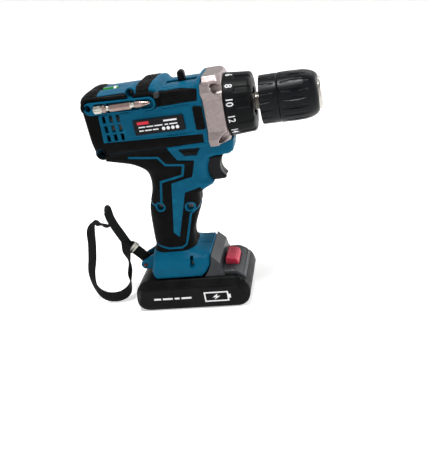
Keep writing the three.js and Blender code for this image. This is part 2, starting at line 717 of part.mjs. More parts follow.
const coverSeat = box(14.6, 80, -25.2, 25.2, BATTERY.deck - 2.4, 60);
add("battery_upper_case", cut(join(upperShell, railBlock), coverSeat, ...CONTACTS.map(slotAt)), "black");

// The grey cover over the pack's front: a hood in front of the drill's foot, and a deck round the button.
const HOOD_SIDE = [
  [15.4, 30.9],
  [16.8, 35.4],
  [27, 50.2],
  [28.8, 52.4],
  [35, 42.4],
  [35.6, 36.4],
  [53, 32.4],
  [55, 30.9],
];
const HOOD_SECTION = [
  [22, 54],
  [25, 46],
  [27, 30],
];
const HOOD_HOLLOW = [
  [19, 29],
  [19, 33.6],
  [28, 45.6],
  [32.4, 39],
  [33, 31.6],
  [35, 29],
];
const RELEASE_SIDE = [
  [36.8, 34.6],
  [36.8, 40.4],
  [39, 41.2],
  [46, 39.4],
  [48.2, 36.6],
  [48.2, 34.6],
];
const buttonWell = box(36.4, 48.6, -10.8, 10.8, 31.6, 60);
const coverBody = plate(HOOD_SIDE, -40, 40).intersect(bar(mirrored(HOOD_SECTION), 0, 80));
const coverSole = box(15, 80, -24.8, 24.8, BATTERY.deck - 0.1, 60);
const underCover = box(10, 80, -60, 60, 20, BATTERY.deck + GAP).subtract(coverSole);
add("battery_front_cover", cut(coverBody, buttonWell, plate(HOOD_HOLLOW, -19, 19), underCover), "grey");
add("release_button", plate(RELEASE_SIDE, -10.4, 10.4, 0.8), "red");

// ---- wrist strap ----
// Each station is x, y, z and the turn of the webbing about its own run. Unturned, its face looks along FACING.
const FACING = new THREE.Vector3(-0.21, -0.86, 0.46);
const TETHER = [
  [-49, 0, 42.6, 0],
  [-51.4, 0, 45.6, 0],
  [-62.4, -0.8, 59.6, 0],
];
const LOOP = [
  [-62.6, -0.9, 59, 0],
  [-64.4, -1.4, 62, 0],
  [-68.2, 0, 69.9, 0],
  [-72.4, 1, 79.3, 0],
  [-75.4, 2, 88, 0],
  [-77, 4, 96, 0],
  [-78.4, 7.5, 98.6, 0],
  [-80, 11, 95, 0],
  [-81.5, 13, 87, 0],
  [-83.4, 14.5, 79, 25],
  [-87.2, 15, 74.4, 70],
  [-93, 14, 77.4, 90],
  [-98.6, 11.5, 80.8, 80],
  [-102.6, 7, 75.6, 35],
  [-103.2, 1.5, 62, 10],
  [-105.6, -3, 47, 0],
  [-108.4, -8, 33.4, 10],
  [-106.6, -12.5, 19, 30],
  [-97.6, -15, 8.6, 15],
  [-84.6, -15, 6.4, 5],
  [-74.4, -12, 9.4, -10],
  [-69.4, -9, 17, -45],
  [-68, -6, 28.4, -80],
  [-65.8, -6, 40.3, -60],
  [-65.2, -7, 48, -25],
  [-65, -6.4, 55, -5],
  [-65.2, -2.2, 63, 0],
];

// A flat band through the stations.
function band(stations, width, thickness) {
  const places = stations.map(([x, y, z]) => new THREE.Vector3(x, y, z));
  const corners = [];
  places.forEach((place, i) => {
    const before = places[Math.max(i - 1, 0)];
    const after = places[Math.min(i + 1, places.length - 1)];
    const run = after.clone().sub(before).normalize();
    const across = run.clone().cross(FACING).normalize().applyAxisAngle(run, degrees(stations[i][3]));
    const normal = run.clone().cross(across);
    const [half, rise] = [across.multiplyScalar(width / 2), normal.multiplyScalar(thickness / 2)];
    corners.push(place.clone().sub(half).sub(rise), place.clone().add(half).sub(rise));
    corners.push(place.clone().add(half).add(rise), place.clone().sub(half).add(rise));
  });
  const index = [0, 2, 1, 0, 3, 2];
  for (let i = 0; i + 1 < places.length; i++)
    for (let k = 0; k < 4; k++) {
      const [a, b] = [4 * i + k, 4 * i + ((k + 1) % 4)];
      index.push(a, b, b + 4, a, b + 4, a + 4);
    }
  const last = 4 * (places.length - 1);
  index.push(last, last + 1, last + 2, last, last + 2, last + 3);
  return solid(new THREE.BufferGeometry().setFromPoints(corners).setIndex(index));
}

const eye = cut(
  rod([PIN.x, -WEBBING.width / 2, PIN.z], [PIN.x, WEBBING.width / 2, PIN.z], 4.2, 14),
  rod([PIN.x, -9, PIN.z], [PIN.x, 9, PIN.z], PIN.radius + 0.5, 12),
);
const tether = band(TETHER, WEBBING.width, WEBBING.foldedThickness);
const loop = band(LOOP, WEBBING.width - 1, WEBBING.thickness);
add("wrist_strap", join(eye, tether, loop), "webbing");

// A flat block round the tether, between two parts of its run.
function tetherBlock(grow, from, to) {
  const [start, end] = TETHER.slice(1).map(([x, y, z]) => new THREE.Vector3(x, y, z));
  const at = (t) => [...start.clone().lerp(end, t).toArray(), 0];
  return band([at(from), at(to)], WEBBING.width + 2 * grow, WEBBING.foldedThickness + 2 * grow);
}
const CRIMP = { wall: 1.2, from: 0.54, to: 0.84 };
const crimpSleeve = tetherBlock(CRIMP.wall, CRIMP.from, CRIMP.to).subtract(tetherBlock(GAP, 0, 1.1));
add("strap_crimp", crimpSleeve, "steel");

export default drill;
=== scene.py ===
"""Looks of a cordless drill driver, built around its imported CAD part.

Shapes are worked out in millimetres in the part's own frame, +X towards the chuck's nose and +Z up, and
scaled to metres as each mesh is made. Moulded pieces come from distance fields, turned ones from profiles.
"""

import math

import bmesh
import bpy
import numpy as np
from mathutils import Matrix, Vector


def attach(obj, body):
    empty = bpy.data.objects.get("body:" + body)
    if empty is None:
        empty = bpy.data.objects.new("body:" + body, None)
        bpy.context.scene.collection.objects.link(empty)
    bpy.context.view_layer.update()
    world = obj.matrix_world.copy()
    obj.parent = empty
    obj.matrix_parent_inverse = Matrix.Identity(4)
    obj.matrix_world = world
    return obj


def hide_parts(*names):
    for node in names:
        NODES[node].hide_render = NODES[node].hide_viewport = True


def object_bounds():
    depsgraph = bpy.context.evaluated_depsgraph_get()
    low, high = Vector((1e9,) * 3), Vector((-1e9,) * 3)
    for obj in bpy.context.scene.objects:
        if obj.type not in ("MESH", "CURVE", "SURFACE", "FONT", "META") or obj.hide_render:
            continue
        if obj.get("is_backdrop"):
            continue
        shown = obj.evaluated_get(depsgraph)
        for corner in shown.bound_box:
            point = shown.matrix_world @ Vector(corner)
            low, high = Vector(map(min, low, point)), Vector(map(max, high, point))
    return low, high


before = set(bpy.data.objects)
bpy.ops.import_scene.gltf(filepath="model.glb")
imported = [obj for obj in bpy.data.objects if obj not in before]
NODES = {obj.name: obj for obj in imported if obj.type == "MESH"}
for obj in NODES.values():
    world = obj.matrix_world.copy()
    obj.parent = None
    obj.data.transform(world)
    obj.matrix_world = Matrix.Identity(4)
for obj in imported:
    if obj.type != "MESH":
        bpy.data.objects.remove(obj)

CAD_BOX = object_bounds()

# ---- sizes, in millimetres ----
MM = 0.001
AXIS_Z = 187
HALF_GAP = 0.12  # from the middle plane to each housing half
RECESS = 1.4  # depth of the housing under its rubber
PROUD = 0.45  # height of the rubber over the housing
WALL = 3.2
PITCH = 0.62  # of the grid that the housing and its rubber are made on
SHARP = 40  # degrees between two faces, past which their edge isn't smoothed


# ---- camera, lights and floor ----
LIT_POINT = Vector((0, 0, 0.12))  # in metres, like the lights' own places


def add_camera():
    """The camera that was fitted to the object's own lines, in radians, millimetres and a 36 mm film."""
    yaw, pitch, roll = 0.23517, 0.478835, 0.195982
    forward = Vector((-math.sin(yaw) * math.cos(pitch), math.cos(yaw) * math.cos(pitch), -math.sin(pitch)))
    level = Vector((math.cos(yaw), math.sin(yaw), 0))
    down = forward.cross(level)
    right = math.cos(roll) * level + math.sin(roll) * down
    up = math.sin(roll) * level - math.cos(roll) * down
    camera = bpy.data.objects.new("camera", bpy.data.cameras.new("camera"))
    camera.data.sensor_width = 36
    camera.data.lens = 42.27
    camera.data.clip_start = 0.01
    place = Matrix((right, up, -forward)).transposed().to_4x4()
    place.translation = Vector((140.34, -456.42, 308.34)) * MM
    camera.matrix_world = place
    bpy.context.collection.objects.link(camera)
    bpy.context.scene.camera = camera


def add_light(name, place, size, power):
    data = bpy.data.lights.new(name, "AREA")
    data.shape = "DISK"
    data.size = size
    data.energy = power
    light = bpy.data.objects.new(name, data)
    light.location = place
    light.rotation_euler = (LIT_POINT - Vector(place)).to_track_quat("-Z", "Y").to_euler()
    bpy.context.collection.objects.link(light)


def light_studio():
    world = bpy.data.worlds.new("studio")
    bpy.context.scene.world = world
    world.use_nodes = True
    world.node_tree.nodes["Background"].inputs["Color"].default_value = (1, 1, 1, 1)
    world.node_tree.nodes["Background"].inputs["Strength"].default_value = 0.05
    add_light("key", (0.02, -0.22, 1.6), size=0.36, power=23)
    add_light("fill", (0.7, -1.3, 0.8), size=0.9, power=0.6)
    add_light("rim", (0.5, 1.0, 1.3), size=0.9, power=5)
    add_light("kicker", (1.3, 0.75, 0.4), size=1.0, power=18)


# ---- materials ----
def linear(code):
    """A colour code such as "#1a8fa5" as linear red, green, blue and alpha."""
    parts = [int(code[i : i + 2], 16) / 255 for i in (1, 3, 5)]
    return tuple(c / 12.92 if c <= 0.04045 else ((c + 0.055) / 1.055) ** 2.4 for c in parts) + (1.0,)


class Surface:
    """A material under construction: a shader, object coordinates and the nodes that feed it."""

    def __init__(self, name, color, roughness, metallic=0.0, **fixed):
        self.material = bpy.data.materials.new(name)
        self.material.use_nodes = True
        self.tree = self.material.node_tree
        self.shader = self.tree.nodes["Principled BSDF"]
        self.color = linear(color)
        self.roughness = roughness
        self.shader.inputs["Base Color"].default_value = self.color
        self.shader.inputs["Roughness"].default_value = roughness
        self.shader.inputs["Metallic"].default_value = metallic
        for socket, value in fixed.items():
            self.shader.inputs[socket.replace("_", " ")].default_value = value
        self.place = self.tree.nodes.new("ShaderNodeTexCoord").outputs["Object"]
        self.bump = None

    def node(self, kind, **inputs):
        node = self.tree.nodes.new(kind)
        for name, value in inputs.items():
            socket = node.inputs[name.replace("_", " ")]
            if isinstance(value, bpy.types.NodeSocket):
                self.tree.links.new(value, socket)
            else:
                socket.default_value = value
        return node

    def noise(self, scale, detail=2.0, stretch=None):
        place = self.place
        if stretch:
            place = self.node("ShaderNodeMapping", Vector=place, Scale=stretch).outputs["Vector"]
        noise = self.node("ShaderNodeTexNoise", Vector=place, Scale=scale, Detail=detail)
        return noise.outputs["Fac"]

    def ramp(self, value, low, high, start=0.0, end=1.0):
        """The value's range low to high, spread over start to end and held there."""
        span = {"From_Min": low, "From_Max": high, "To_Min": start, "To_Max": end}
        return self.node("ShaderNodeMapRange", Value=value, **span).outputs["Result"]

    def math(self, operation, a, b):
        node = self.tree.nodes.new("ShaderNodeMath")
        node.operation = operation
        for socket, value in zip(node.inputs, (a, b)):
            if isinstance(value, bpy.types.NodeSocket):
                self.tree.links.new(value, socket)
            else:
                socket.default_value = value
        return node.outputs[0]

    def tint(self, amount, color):
        """Mixes a colour into the base colour by a 0 to 1 value."""
        mix = self.tree.nodes.new("ShaderNodeMix")
        mix.data_type = "RGBA"
        base = self.shader.inputs["Base Color"]
        if base.is_linked:
            self.tree.links.new(base.links[0].from_socket, mix.inputs["A"])
        else:
            mix.inputs["A"].default_value = self.color
        mix.inputs["B"].default_value = linear(color)
        self.tree.links.new(amount, mix.inputs["Factor"])
        self.tree.links.new(mix.outputs["Result"], base)

    def rough(self, value, spread):
        """Lets a 0 to 1 value move the roughness by spread each way."""
        low, high = max(self.roughness - spread, 0.02), min(self.roughness + spread, 1)
        self.tree.links.new(self.ramp(value, 0.3, 0.7, low, high), self.shader.inputs["Roughness"])

    def relief(self, height, strength, depth_mm):
        node = self.node("ShaderNodeBump", Height=height, Strength=strength, Distance=depth_mm * MM)
        if self.bump:
            self.tree.links.new(self.bump, node.inputs["Normal"])
        self.bump = node.outputs["Normal"]
        self.tree.links.new(self.bump, self.shader.inputs["Normal"])

    def worn_and_highlit_edges(self, color, amount):
        """Lightens sharp convex edges: where handling has rubbed them, and as a painted highlight along them.
        """
        edge = self.tree.nodes.new("ShaderNodeNewGeometry").outputs["Pointiness"]
        # The edge mask stands for rubbing and for a painted highlight along the edges.
        rubbed_and_highlit = self.math("MULTIPLY", self.ramp(edge, 0.53, 0.62), self.ramp(self.noise(260), 0.35, 0.65))
        self.tint(self.math("MULTIPLY", rubbed_and_highlit, amount), color)


def plastic(name, color, roughness, grain=1.0, pale="#7a7c80", edge_wear_and_highlight=0.25, gloss=0.25):
    """Moulded plastic: a fine spark texture, faint blotches of gloss, and edges lightened as rubbed and as a
    painted highlight.
    """
    surface = Surface(name, color, roughness, Specular_IOR_Level=gloss)
    blotch = surface.noise(70, 3)
    surface.rough(blotch, 0.06)
    mottled = surface.math("MULTIPLY", surface.ramp(blotch, 0.35, 0.7), 0.07)
    surface.tint(mottled, pale)
    surface.relief(surface.noise(2600, 2), 0.22 * grain, 0.06)
    surface.relief(surface.noise(420, 2), 0.08 * grain, 0.12)
    # Lightened edges: wear, and a painted highlight along them.
    if edge_wear_and_highlight:
        surface.worn_and_highlit_edges(pale, edge_wear_and_highlight)
    return surface


def rubber(name):
    surface = Surface(name, "#070707", 0.6, Specular_IOR_Level=0.04)
    dust = surface.noise(48, 4)
    surface.tint(surface.math("MULTIPLY", surface.ramp(dust, 0.42, 0.75), 0.03), "#55565a")
    surface.rough(surface.noise(120, 3), 0.1)
    surface.relief(surface.noise(3200, 2), 0.3, 0.07)
    surface.relief(surface.noise(700, 2), 0.12, 0.1)
    surface.worn_and_highlit_edges("#3c3d40", 0.15)
    return surface


def metal(name, color, roughness, brushed=None, grime=0.25):
    """Bare metal, brushed along an axis by a stretch, with grime in its low spots."""
    surface = Surface(name, color, roughness, metallic=1.0)
    lines = surface.noise(900, 3, brushed) if brushed else surface.noise(1500, 3)
    surface.rough(lines, 0.12)
    surface.relief(lines, 0.16, 0.04)
    surface.tint(surface.math("MULTIPLY", surface.ramp(surface.noise(160, 4), 0.5, 0.75), grime), "#4a4340")
    return surface


def silver_paint():
    """Satin metallic paint on a casting: fine flakes and a soft orange peel."""
    surface = Surface("silver_paint", "#857977", 0.44, metallic=0.9)
    cells = surface.node("ShaderNodeTexVoronoi", Vector=surface.place, Scale=1900.0)
    flake = surface.ramp(cells.outputs["Color"], 0.2, 0.9)
    surface.tint(surface.math("MULTIPLY", flake, 0.3), "#c4babc")
    surface.rough(surface.noise(500, 2), 0.08)
    surface.relief(surface.noise(900, 2), 0.12, 0.05)
    # Near-white edges: a painted highlight, the shine along the casting's bevel edges, with a little wear.
    surface.worn_and_highlit_edges("#e4dfe0", 0.3)
    return surface


def webbing(name):
    """Black woven nylon: ridges across the band and a fine twill."""
    surface = Surface(name, "#0b0b0c", 0.75, Specular_IOR_Level=0.1)
    surface.tint(surface.ramp(surface.noise(900, 3), 0.45, 0.8, 0, 0.2), "#3c3d40")
    surface.relief(surface.noise(2400, 3), 0.5, 0.15)
    return surface


def make_materials():
    surfaces = {
        "teal": plastic("teal_plastic", "#004c68", 0.42, pale="#0f7fa0", edge_wear_and_highlight=0.3, gloss=0.06),
        "black": plastic("black_plastic", "#08090a", 0.42, pale="#3c3e42", gloss=0.07),
        "satin": plastic("satin_black", "#090b0e", 0.33, grain=0.6, pale="#3c3e42", gloss=0.12),
        # The grey's edges are lightened strongly as a painted highlight along the hood's and deck's edges,
        # with some wear.
        "grey": plastic("dark_grey_plastic", "#26282b", 0.36, pale="#6b6e72", edge_wear_and_highlight=0.5, gloss=0.2),
        "red": plastic("red_plastic", "#a8243c", 0.42, pale="#e88a98", gloss=0.25),
        "case": plastic("battery_plastic", "#070707", 0.4, grain=1.3, pale="#3c3d40", gloss=0.07),
        "rubber": rubber("soft_rubber"),
        "print": plastic("pale_print", "#dcdcdf", 0.55, edge_wear_and_highlight=0),
        "print_red": plastic("red_print", "#d02438", 0.55, edge_wear_and_highlight=0),
        "silver": silver_paint(),
        "steel": metal("brushed_steel", "#b9b5b0", 0.3, (1, 12, 12)),
        "pale_steel": metal("nickelled_steel", "#c4c1b8", 0.36, grime=0.45),
        "brown_steel": metal("tempered_steel", "#9b8680", 0.38, (1, 14, 14), 0.3),
        "dark_steel": metal("oiled_steel", "#6d655f", 0.42, grime=0.4),
        "rust_pin": metal("bronzed_pin", "#5b3530", 0.45, grime=0.5),
        "copper": metal("copper_winding", "#b06a3a", 0.35, (1, 1, 20)),
        "webbing": webbing("webbing"),
        "wrap": plastic("cell_wrap", "#2e9a55", 0.3, grain=0.3, pale="#7fd29c"),
        "spirit": spirit(),
        "bubble": plastic("bubble", "#f0f2e6", 0.12, grain=0, edge_wear_and_highlight=0),
        "lens": clear_lens(),
    }
    return {name: surface.material for name, surface in surfaces.items()}


def spirit():
    surface = Surface("green_spirit", "#12692a", 0.06, Coat_Weight=0.8, Coat_Roughness=0.03)
    surface.tint(surface.ramp(surface.noise(60, 1), 0.35, 0.7, 0, 0.3), "#4da83a")
    return surface


def clear_lens():
    surface = Surface("lens", "#dfe8ea", 0.08, Coat_Weight=1.0, Coat_Roughness=0.04)
    cells = surface.node("ShaderNodeTexVoronoi", Vector=surface.place, Scale=900.0)
    surface.relief(cells.outputs["Distance"], 0.3, 0.2)
    return surface


# ---- distance fields: negative inside, in millimetres ----
def edge_distance(u, v, start, end):
    """Squared distance to a straight edge."""
    eu, ev, wu, wv = end[0] - start[0], end[1] - start[1], u - start[0], v - start[1]
    t = np.clip((wu * eu + wv * ev) / (eu * eu + ev * ev), 0, 1)
    return (wu - eu * t) ** 2 + (wv - ev * t) ** 2


def measure_outline(u, v, points):
    """Signed distance to a closed outline, worked out edge by edge."""
    nearest = np.full(np.broadcast(u, v).shape, np.inf)
    inside = np.zeros(nearest.shape, bool)
    for start, end in zip(points, np.roll(points, -1, axis=0)):
        nearest = np.minimum(nearest, edge_distance(u, v, start, end))
        eu, ev = end - start
        if ev:
            inside ^= ((start[1] > v) != (end[1] > v)) & (u - start[0] < (v - start[1]) * eu / ev)
    return np.where(inside, -1, 1) * np.sqrt(nearest)


def outline(points, reach=16, pitch=0.3):
    """The signed distance to a closed outline as a function, read from a fine grid."""
    points = np.asarray(points, float)
    low = points.min(0) - reach
    count = np.ceil((points.max(0) + reach - low) / pitch).astype(int) + 2
    axes = [low[i] + pitch * np.arange(count[i]) for i in (0, 1)]
    grid = measure_outline(axes[0][:, None], axes[1][None, :], points)

    def distance(u, v):
        a = np.clip((u - low[0]) / pitch, 0, count[0] - 1.001)
        b = np.clip((v - low[1]) / pitch, 0, count[1] - 1.001)
        i, j = a.astype(int), b.astype(int)
        a, b = a - i, b - j
        near = grid[i, j] * (1 - b) + grid[i, j + 1] * b
        far = grid[i + 1, j] * (1 - b) + grid[i + 1, j + 1] * b
        return near * (1 - a) + far * a

    return distance


def ease(low, high, value):
    """0 below low, 1 above high and smooth between."""
    t = np.clip((value - low) / (high - low), 0, 1)
    return t * t * (3 - 2 * t)


def blend_union(a, b, k):
    """Two forms joined, with a fillet about k wide between them."""
    h = np.maximum(k - np.abs(a - b), 0) / k
    return np.minimum(a, b) - h * h * k / 4


def round_meet(a, b, r):
    """Where two forms overlap, with the edge between them rounded."""
    return np.minimum(np.maximum(a, b), -r) + np.hypot(np.maximum(a + r, 0), np.maximum(b + r, 0))


def soft_box(x, y, z, box, r=0.4):
    """A box with rounded edges, given as three spans."""
    (x0, x1), (y0, y1), (z0, z1) = box
    d = [
        np.abs(value - (low + high) / 2) - (high - low) / 2 + r
        for value, low, high in ((x, x0, x1), (y, y0, y1), (z, z0, z1))
    ]
    outer = np.sqrt(sum(np.maximum(part, 0) ** 2 for part in d))
    return outer + np.minimum(np.maximum(np.maximum(d[0], d[1]), d[2]), 0) - r


def rounded_rectangle(u, v, box, r):
    (u0, u1), (v0, v1) = box
    du = np.abs(u - (u0 + u1) / 2) - (u1 - u0) / 2 + r
    dv = np.abs(v - (v0 + v1) / 2) - (v1 - v0) / 2 + r
    return np.hypot(np.maximum(du, 0), np.maximum(dv, 0)) + np.minimum(np.maximum(du, dv), 0) - r


def polyline(u, v, points):
    """Distance to an open line of points."""
    nearest = np.full(u.shape, np.inf)
    for start, end in zip(points, points[1:]):
        nearest = np.minimum(nearest, edge_distance(u, v, start, end))
    return np.sqrt(nearest)


def rod_field(point, start, end, r):
    """A rod with round ends between two points."""
    start, end = np.asarray(start, float), np.asarray(end, float)
    axis = end - start
    offset = [p - s for p, s in zip(point, start)]
    t = np.clip(sum(o * a for o, a in zip(offset, axis)) / axis.dot(axis), 0, 1)
    return np.sqrt(sum((o - t * a) ** 2 for o, a in zip(offset, axis))) - r


def drum_field(across_u, across_v, along, r, low, high, edge=0.4):
    """A round drum: its distance from two cross axes and its span along the third."""
    return round_meet(np.hypot(across_u, across_v) - r, np.maximum(low - along, along - high), edge)


def spline(points, steps):
    """Points of a smooth curve through a few chosen ones."""
    p = np.asarray(points, float)
    p = np.vstack([2 * p[0] - p[1], p, 2 * p[-1] - p[-2]])
    made = []
    for a, b, c, d in zip(p, p[1:], p[2:], p[3:]):
        for t in np.linspace(0, 1, steps, endpoint=False):
            squared = (2 * a - 5 * b + 4 * c - d) * t**2
            cubed = (3 * (b - c) + d - a) * t**3
            made.append(0.5 * (2 * b + (c - a) * t + squared + cubed))
    return np.vstack([made, p[-2]])


# ---- meshes ----
CELL_EDGES = [(0, 1), (0, 2), (0, 4), (1, 3), (1, 5), (2, 3), (2, 6), (3, 7), (4, 5), (4, 6), (5, 7), (6, 7)]
BLOCK = 6


def near_surface(field, low, count, pitch):
    """The grid's values near the surface, worked out block by block, and far ones left as plain signs."""
    blocks = np.ceil(np.asarray(count) / BLOCK).astype(int)
    centres = [low[i] + pitch * (np.arange(blocks[i]) * BLOCK + BLOCK / 2) for i in range(3)]
    middle = np.meshgrid(*centres, indexing="ij")
    rough_value = field(*[m.ravel() for m in middle]).reshape(blocks)
    reach = pitch * (BLOCK / 2 + 1) * math.sqrt(3) * 1.25
    close = np.argwhere(np.abs(rough_value) < reach)
    values = np.repeat(np.repeat(np.repeat(np.sign(rough_value), BLOCK, 0), BLOCK, 1), BLOCK, 2) * 1e3
    steps = np.stack(np.meshgrid(*[np.arange(BLOCK)] * 3, indexing="ij"), -1).reshape(-1, 3)
    for part in np.array_split(close, max(1, len(close) // 3000)):
        index = (part[:, None, :] * BLOCK + steps[None]).reshape(-1, 3)
        at = [low[i] + pitch * index[:, i] for i in range(3)]
        values[index[:, 0], index[:, 1], index[:, 2]] = field(*at)
    return values


def polygonise(field, low, high, pitch):
    """A quad mesh of the surface where the field is zero, by surface nets, then pulled onto the surface."""
    low = np.asarray(low, float) - 2 * pitch
    count = np.ceil((np.asarray(high) + 2 * pitch - low) / pitch).astype(int) + 1
    values = near_surface(field, low, count, pitch)
    inside = values < 0
    size = np.array(values.shape)
    offsets = np.array([((k >> 2) & 1, (k >> 1) & 1, k & 1) for k in range(8)])
    corner = [tuple(slice(d, n - 1 + d) for d, n in zip(offset, size)) for offset in offsets]
    total = sum(inside[c].astype(np.int8) for c in corner)
    cells = np.argwhere((total > 0) & (total < 8))
    at = cells[:, None, :] + offsets[None]
    v = values[at[..., 0], at[..., 1], at[..., 2]]
    spot_sum, hits = np.zeros((len(cells), 3)), np.zeros(len(cells))
    for a, b in CELL_EDGES:
        crossing = (v[:, a] < 0) != (v[:, b] < 0)
        t = np.where(crossing, v[:, a] / np.where(crossing, v[:, a] - v[:, b], 1), 0)
        spot = offsets[a] + t[:, None] * (offsets[b] - offsets[a])
        spot_sum += np.where(crossing[:, None], spot, 0)
        hits += crossing
    points = low + pitch * (cells + spot_sum / hits[:, None])
    number = np.full(size - 1, -1)
    number[tuple(cells.T)] = np.arange(len(cells))
    faces = []
    step = np.eye(3, dtype=int)
    first = inside[tuple(slice(0, n - 1) for n in size)]
    for axis, one, two in ((0, 1, 2), (1, 2, 0), (2, 0, 1)):
        shift = [slice(0, n - 1) for n in size]
        shift[axis] = slice(1, size[axis])
        edges = np.argwhere(first != inside[tuple(shift)])
        edges = edges[(edges[:, one] > 0) & (edges[:, two] > 0)]
        quad = [edges, edges - step[one], edges - step[one] - step[two], edges - step[two]]
        quad = np.stack([number[tuple(q.T)] for q in quad], 1)
        outward = first[tuple(edges.T)]
        faces.append(np.where(outward[:, None], quad, quad[:, ::-1]))
    faces = np.concatenate(faces)
    for _ in range(3):
        points = pull_to_surface(field, points, pitch)
    return points, faces[(faces >= 0).all(1)]


def pull_to_surface(field, points, pitch):
    """Moves each point down the field's slope, by at most half a cell."""
    nudge = 0.04
    value = field(*points.T)
    slope = np.stack([(field(*(points + nudge * step).T) - value) / nudge for step in np.eye(3)], 1)
    move = slope * (value / np.maximum((slope**2).sum(1), 0.2))[:, None]
    length = np.linalg.norm(move, axis=1, keepdims=True)
    return points - move * np.minimum(1, 0.5 * pitch / np.maximum(length, 1e-9))


def finish_piece(name, mesh, material, body, slot, replaced=(), sharp=SHARP):
    """Makes an object of a mesh, shades it and attaches it to its body."""
    mesh.update()
    mesh.shade_smooth()
    mesh.set_sharp_from_angle(angle=math.radians(sharp))
    for m in material if isinstance(material, (list, tuple)) else [material]:
        mesh.materials.append(m)
    piece = bpy.data.objects.new(name, mesh)
    bpy.context.collection.objects.link(piece)
    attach(piece, body)
    if replaced:
        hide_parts(*replaced)
    return piece


def mesh_piece(name, points, faces, material, body, slot, replaced=(), sharp=SHARP):
    mesh = bpy.data.meshes.new(name)
    mesh.from_pydata((np.asarray(points) * MM).tolist(), [], [list(map(int, f)) for f in faces])
    mesh.validate()
    return finish_piece(name, mesh, material, body, slot, replaced, sharp)


def thin_out(piece, keep):
    """Merges the flat parts of a dense mesh into fewer faces, and applies it."""
    modifier = piece.modifiers.new("thin", "DECIMATE")
    modifier.ratio = keep
    graph = bpy.context.evaluated_depsgraph_get()
    mesh = bpy.data.meshes.new_from_object(piece.evaluated_get(graph))
    piece.modifiers.clear()
    old, name = piece.data, piece.data.name
    piece.data = mesh
    bpy.data.meshes.remove(old)
    mesh.name = name
    mesh.set_sharp_from_angle(angle=math.radians(SHARP))


def field_piece(name, field, low, high, material, body, slot, replaced, pitch, keep, sharp=SHARP):
    """A piece made of a distance field in a box, on a grid of this pitch, with a share of its faces kept."""
    points, faces = polygonise(field, low, high, pitch * (1))
    piece = mesh_piece(name, points, faces, material, body, slot, replaced, sharp)
    thin_out(piece, keep)
    return piece


def lathe(name, profile, material, body, slot, replaced, sides, relief, step, centre=(0, AXIS_Z)):
    """A body turned about an axis along x from a closed profile of (x, radius). relief(x, radius, angle)
    gives how deep the surface lies under the plain form."""
    corners = np.asarray(profile, float)
    stations = []
    for a, b in zip(corners, np.roll(corners, -1, axis=0)):
        parts = max(1, int(np.ceil(np.linalg.norm(b - a) / step)))
        stations += [a + (b - a) * k / parts for k in range(parts)]
    stations = np.array(stations)
    angle = 2 * math.pi * np.arange(sides) / sides
    x, r = np.repeat(stations[:, 0], sides), np.repeat(stations[:, 1], sides)
    a = np.tile(angle, len(stations))
    if relief:
        r = r - relief(x, r, a)
    points = np.stack([x, centre[0] + r * np.cos(a), centre[1] + r * np.sin(a)], 1)
    faces = []
    for i in range(len(stations)):
        j = (i + 1) % len(stations)
        for k in range(sides):
            m = (k + 1) % sides
            faces.append((i * sides + k, i * sides + m, j * sides + m, j * sides + k))
    mesh = bpy.data.meshes.new(name)
    mesh.from_pydata((points * MM).tolist(), [], faces)
    solid = bmesh.new()
    solid.from_mesh(mesh)
    bmesh.ops.remove_doubles(solid, verts=solid.verts, dist=1e-7)
    bmesh.ops.recalc_face_normals(solid, faces=solid.faces)
    solid.to_mesh(mesh)
    solid.free()
    return finish_piece(name, mesh, material, body, slot, replaced, sharp=32)


# ---- the drill's outer form ----
FRONT = 45.1  # where the barrel ends under the collar


def both_sides(points):
    """A section's right half and its mirror image."""
    return points + [(-y, z) for y, z in reversed(points)]


BARREL_SECTION = outline(both_sides([
    (11, 213.3), (20, 212.3), (26.4, 210.4), (29.5, 203), (29.5, 174), (28.6, 168), (25.6, 163.8),
    (16, 160), (8, 157.5),
]))
BARREL_SIDE = outline([
    (48, 217.2), (-56.5, 217.2), (-59.6, 213), (-60.2, 206), (-60.2, 179), (-57.4, 168), (-51, 159.4),
    (-49, 156), (48, 156),
])
GRIP_REAR = [
    (-31.4, 40), (-30.9, 57), (-30.2, 75), (-27.6, 101), (-21.4, 119.3), (-19.9, 131), (-22.5, 141.5),
    (-30, 148.5), (-42, 152.2), (-54, 155.2),
]
TRIGGER_GUARD = [
    (62.4, 170), (62.6, 157), (60.6, 149), (57.6, 146.8), (51.4, 145.9), (38.6, 145.8), (35.6, 137),
    (35.2, 128.4), (38.9, 121.4),
]
GRIP_FRONT = [
    (36.8, 118.6), (28.8, 114.8), (22.6, 110.8), (20.6, 100), (16.8, 90), (12.7, 81.4), (8.6, 70.8),
    (7.4, 59.6), (7.4, 40),
]
GRIP_SIDE = outline([*spline(GRIP_REAR, 4), (-54, 170), *TRIGGER_GUARD, *spline(GRIP_FRONT, 4)])
FOOT_SIDE = outline([
    (-31.4, 55), (-36.2, 40), (-35.6, 34.6), (-32.8, 31.4), (12.9, 31.4), (18.8, 37), (22.4, 43.6),
    (24.4, 52.8), (24, 55),
])
FOOT_SECTION = outline(both_sides([(20, 55.2), (25, 51), (27.8, 43), (28.5, 34), (28.5, 28)]))


def barrel(x, y, z):
    """The motor's barrel up to the collar."""
    # The rear deck, its cap, the grip patch and the flare to the collar stand above the front deck.
    lift = 1.9 * (1 - ease(-14, -10, x)) + 0.9 * (1 - ease(-51, -48, x))
    lift = lift + 4.9 * ease(-14, -9, x) * (1 - ease(6.6, 11.6, x)) + 2.8 * ease(38.5, 43.5, x)
    z = z - lift * ease(203, 212, z)
    form = round_meet(BARREL_SECTION(y, z), BARREL_SIDE(x, z), 4)
    corner = round_meet(np.abs(y) - 29.5, -60.2 - x, 9)
    form = round_meet(form, corner, 2) - 1.1 * ease(37.5, 42.5, x)
    return np.maximum(form, x - FRONT)


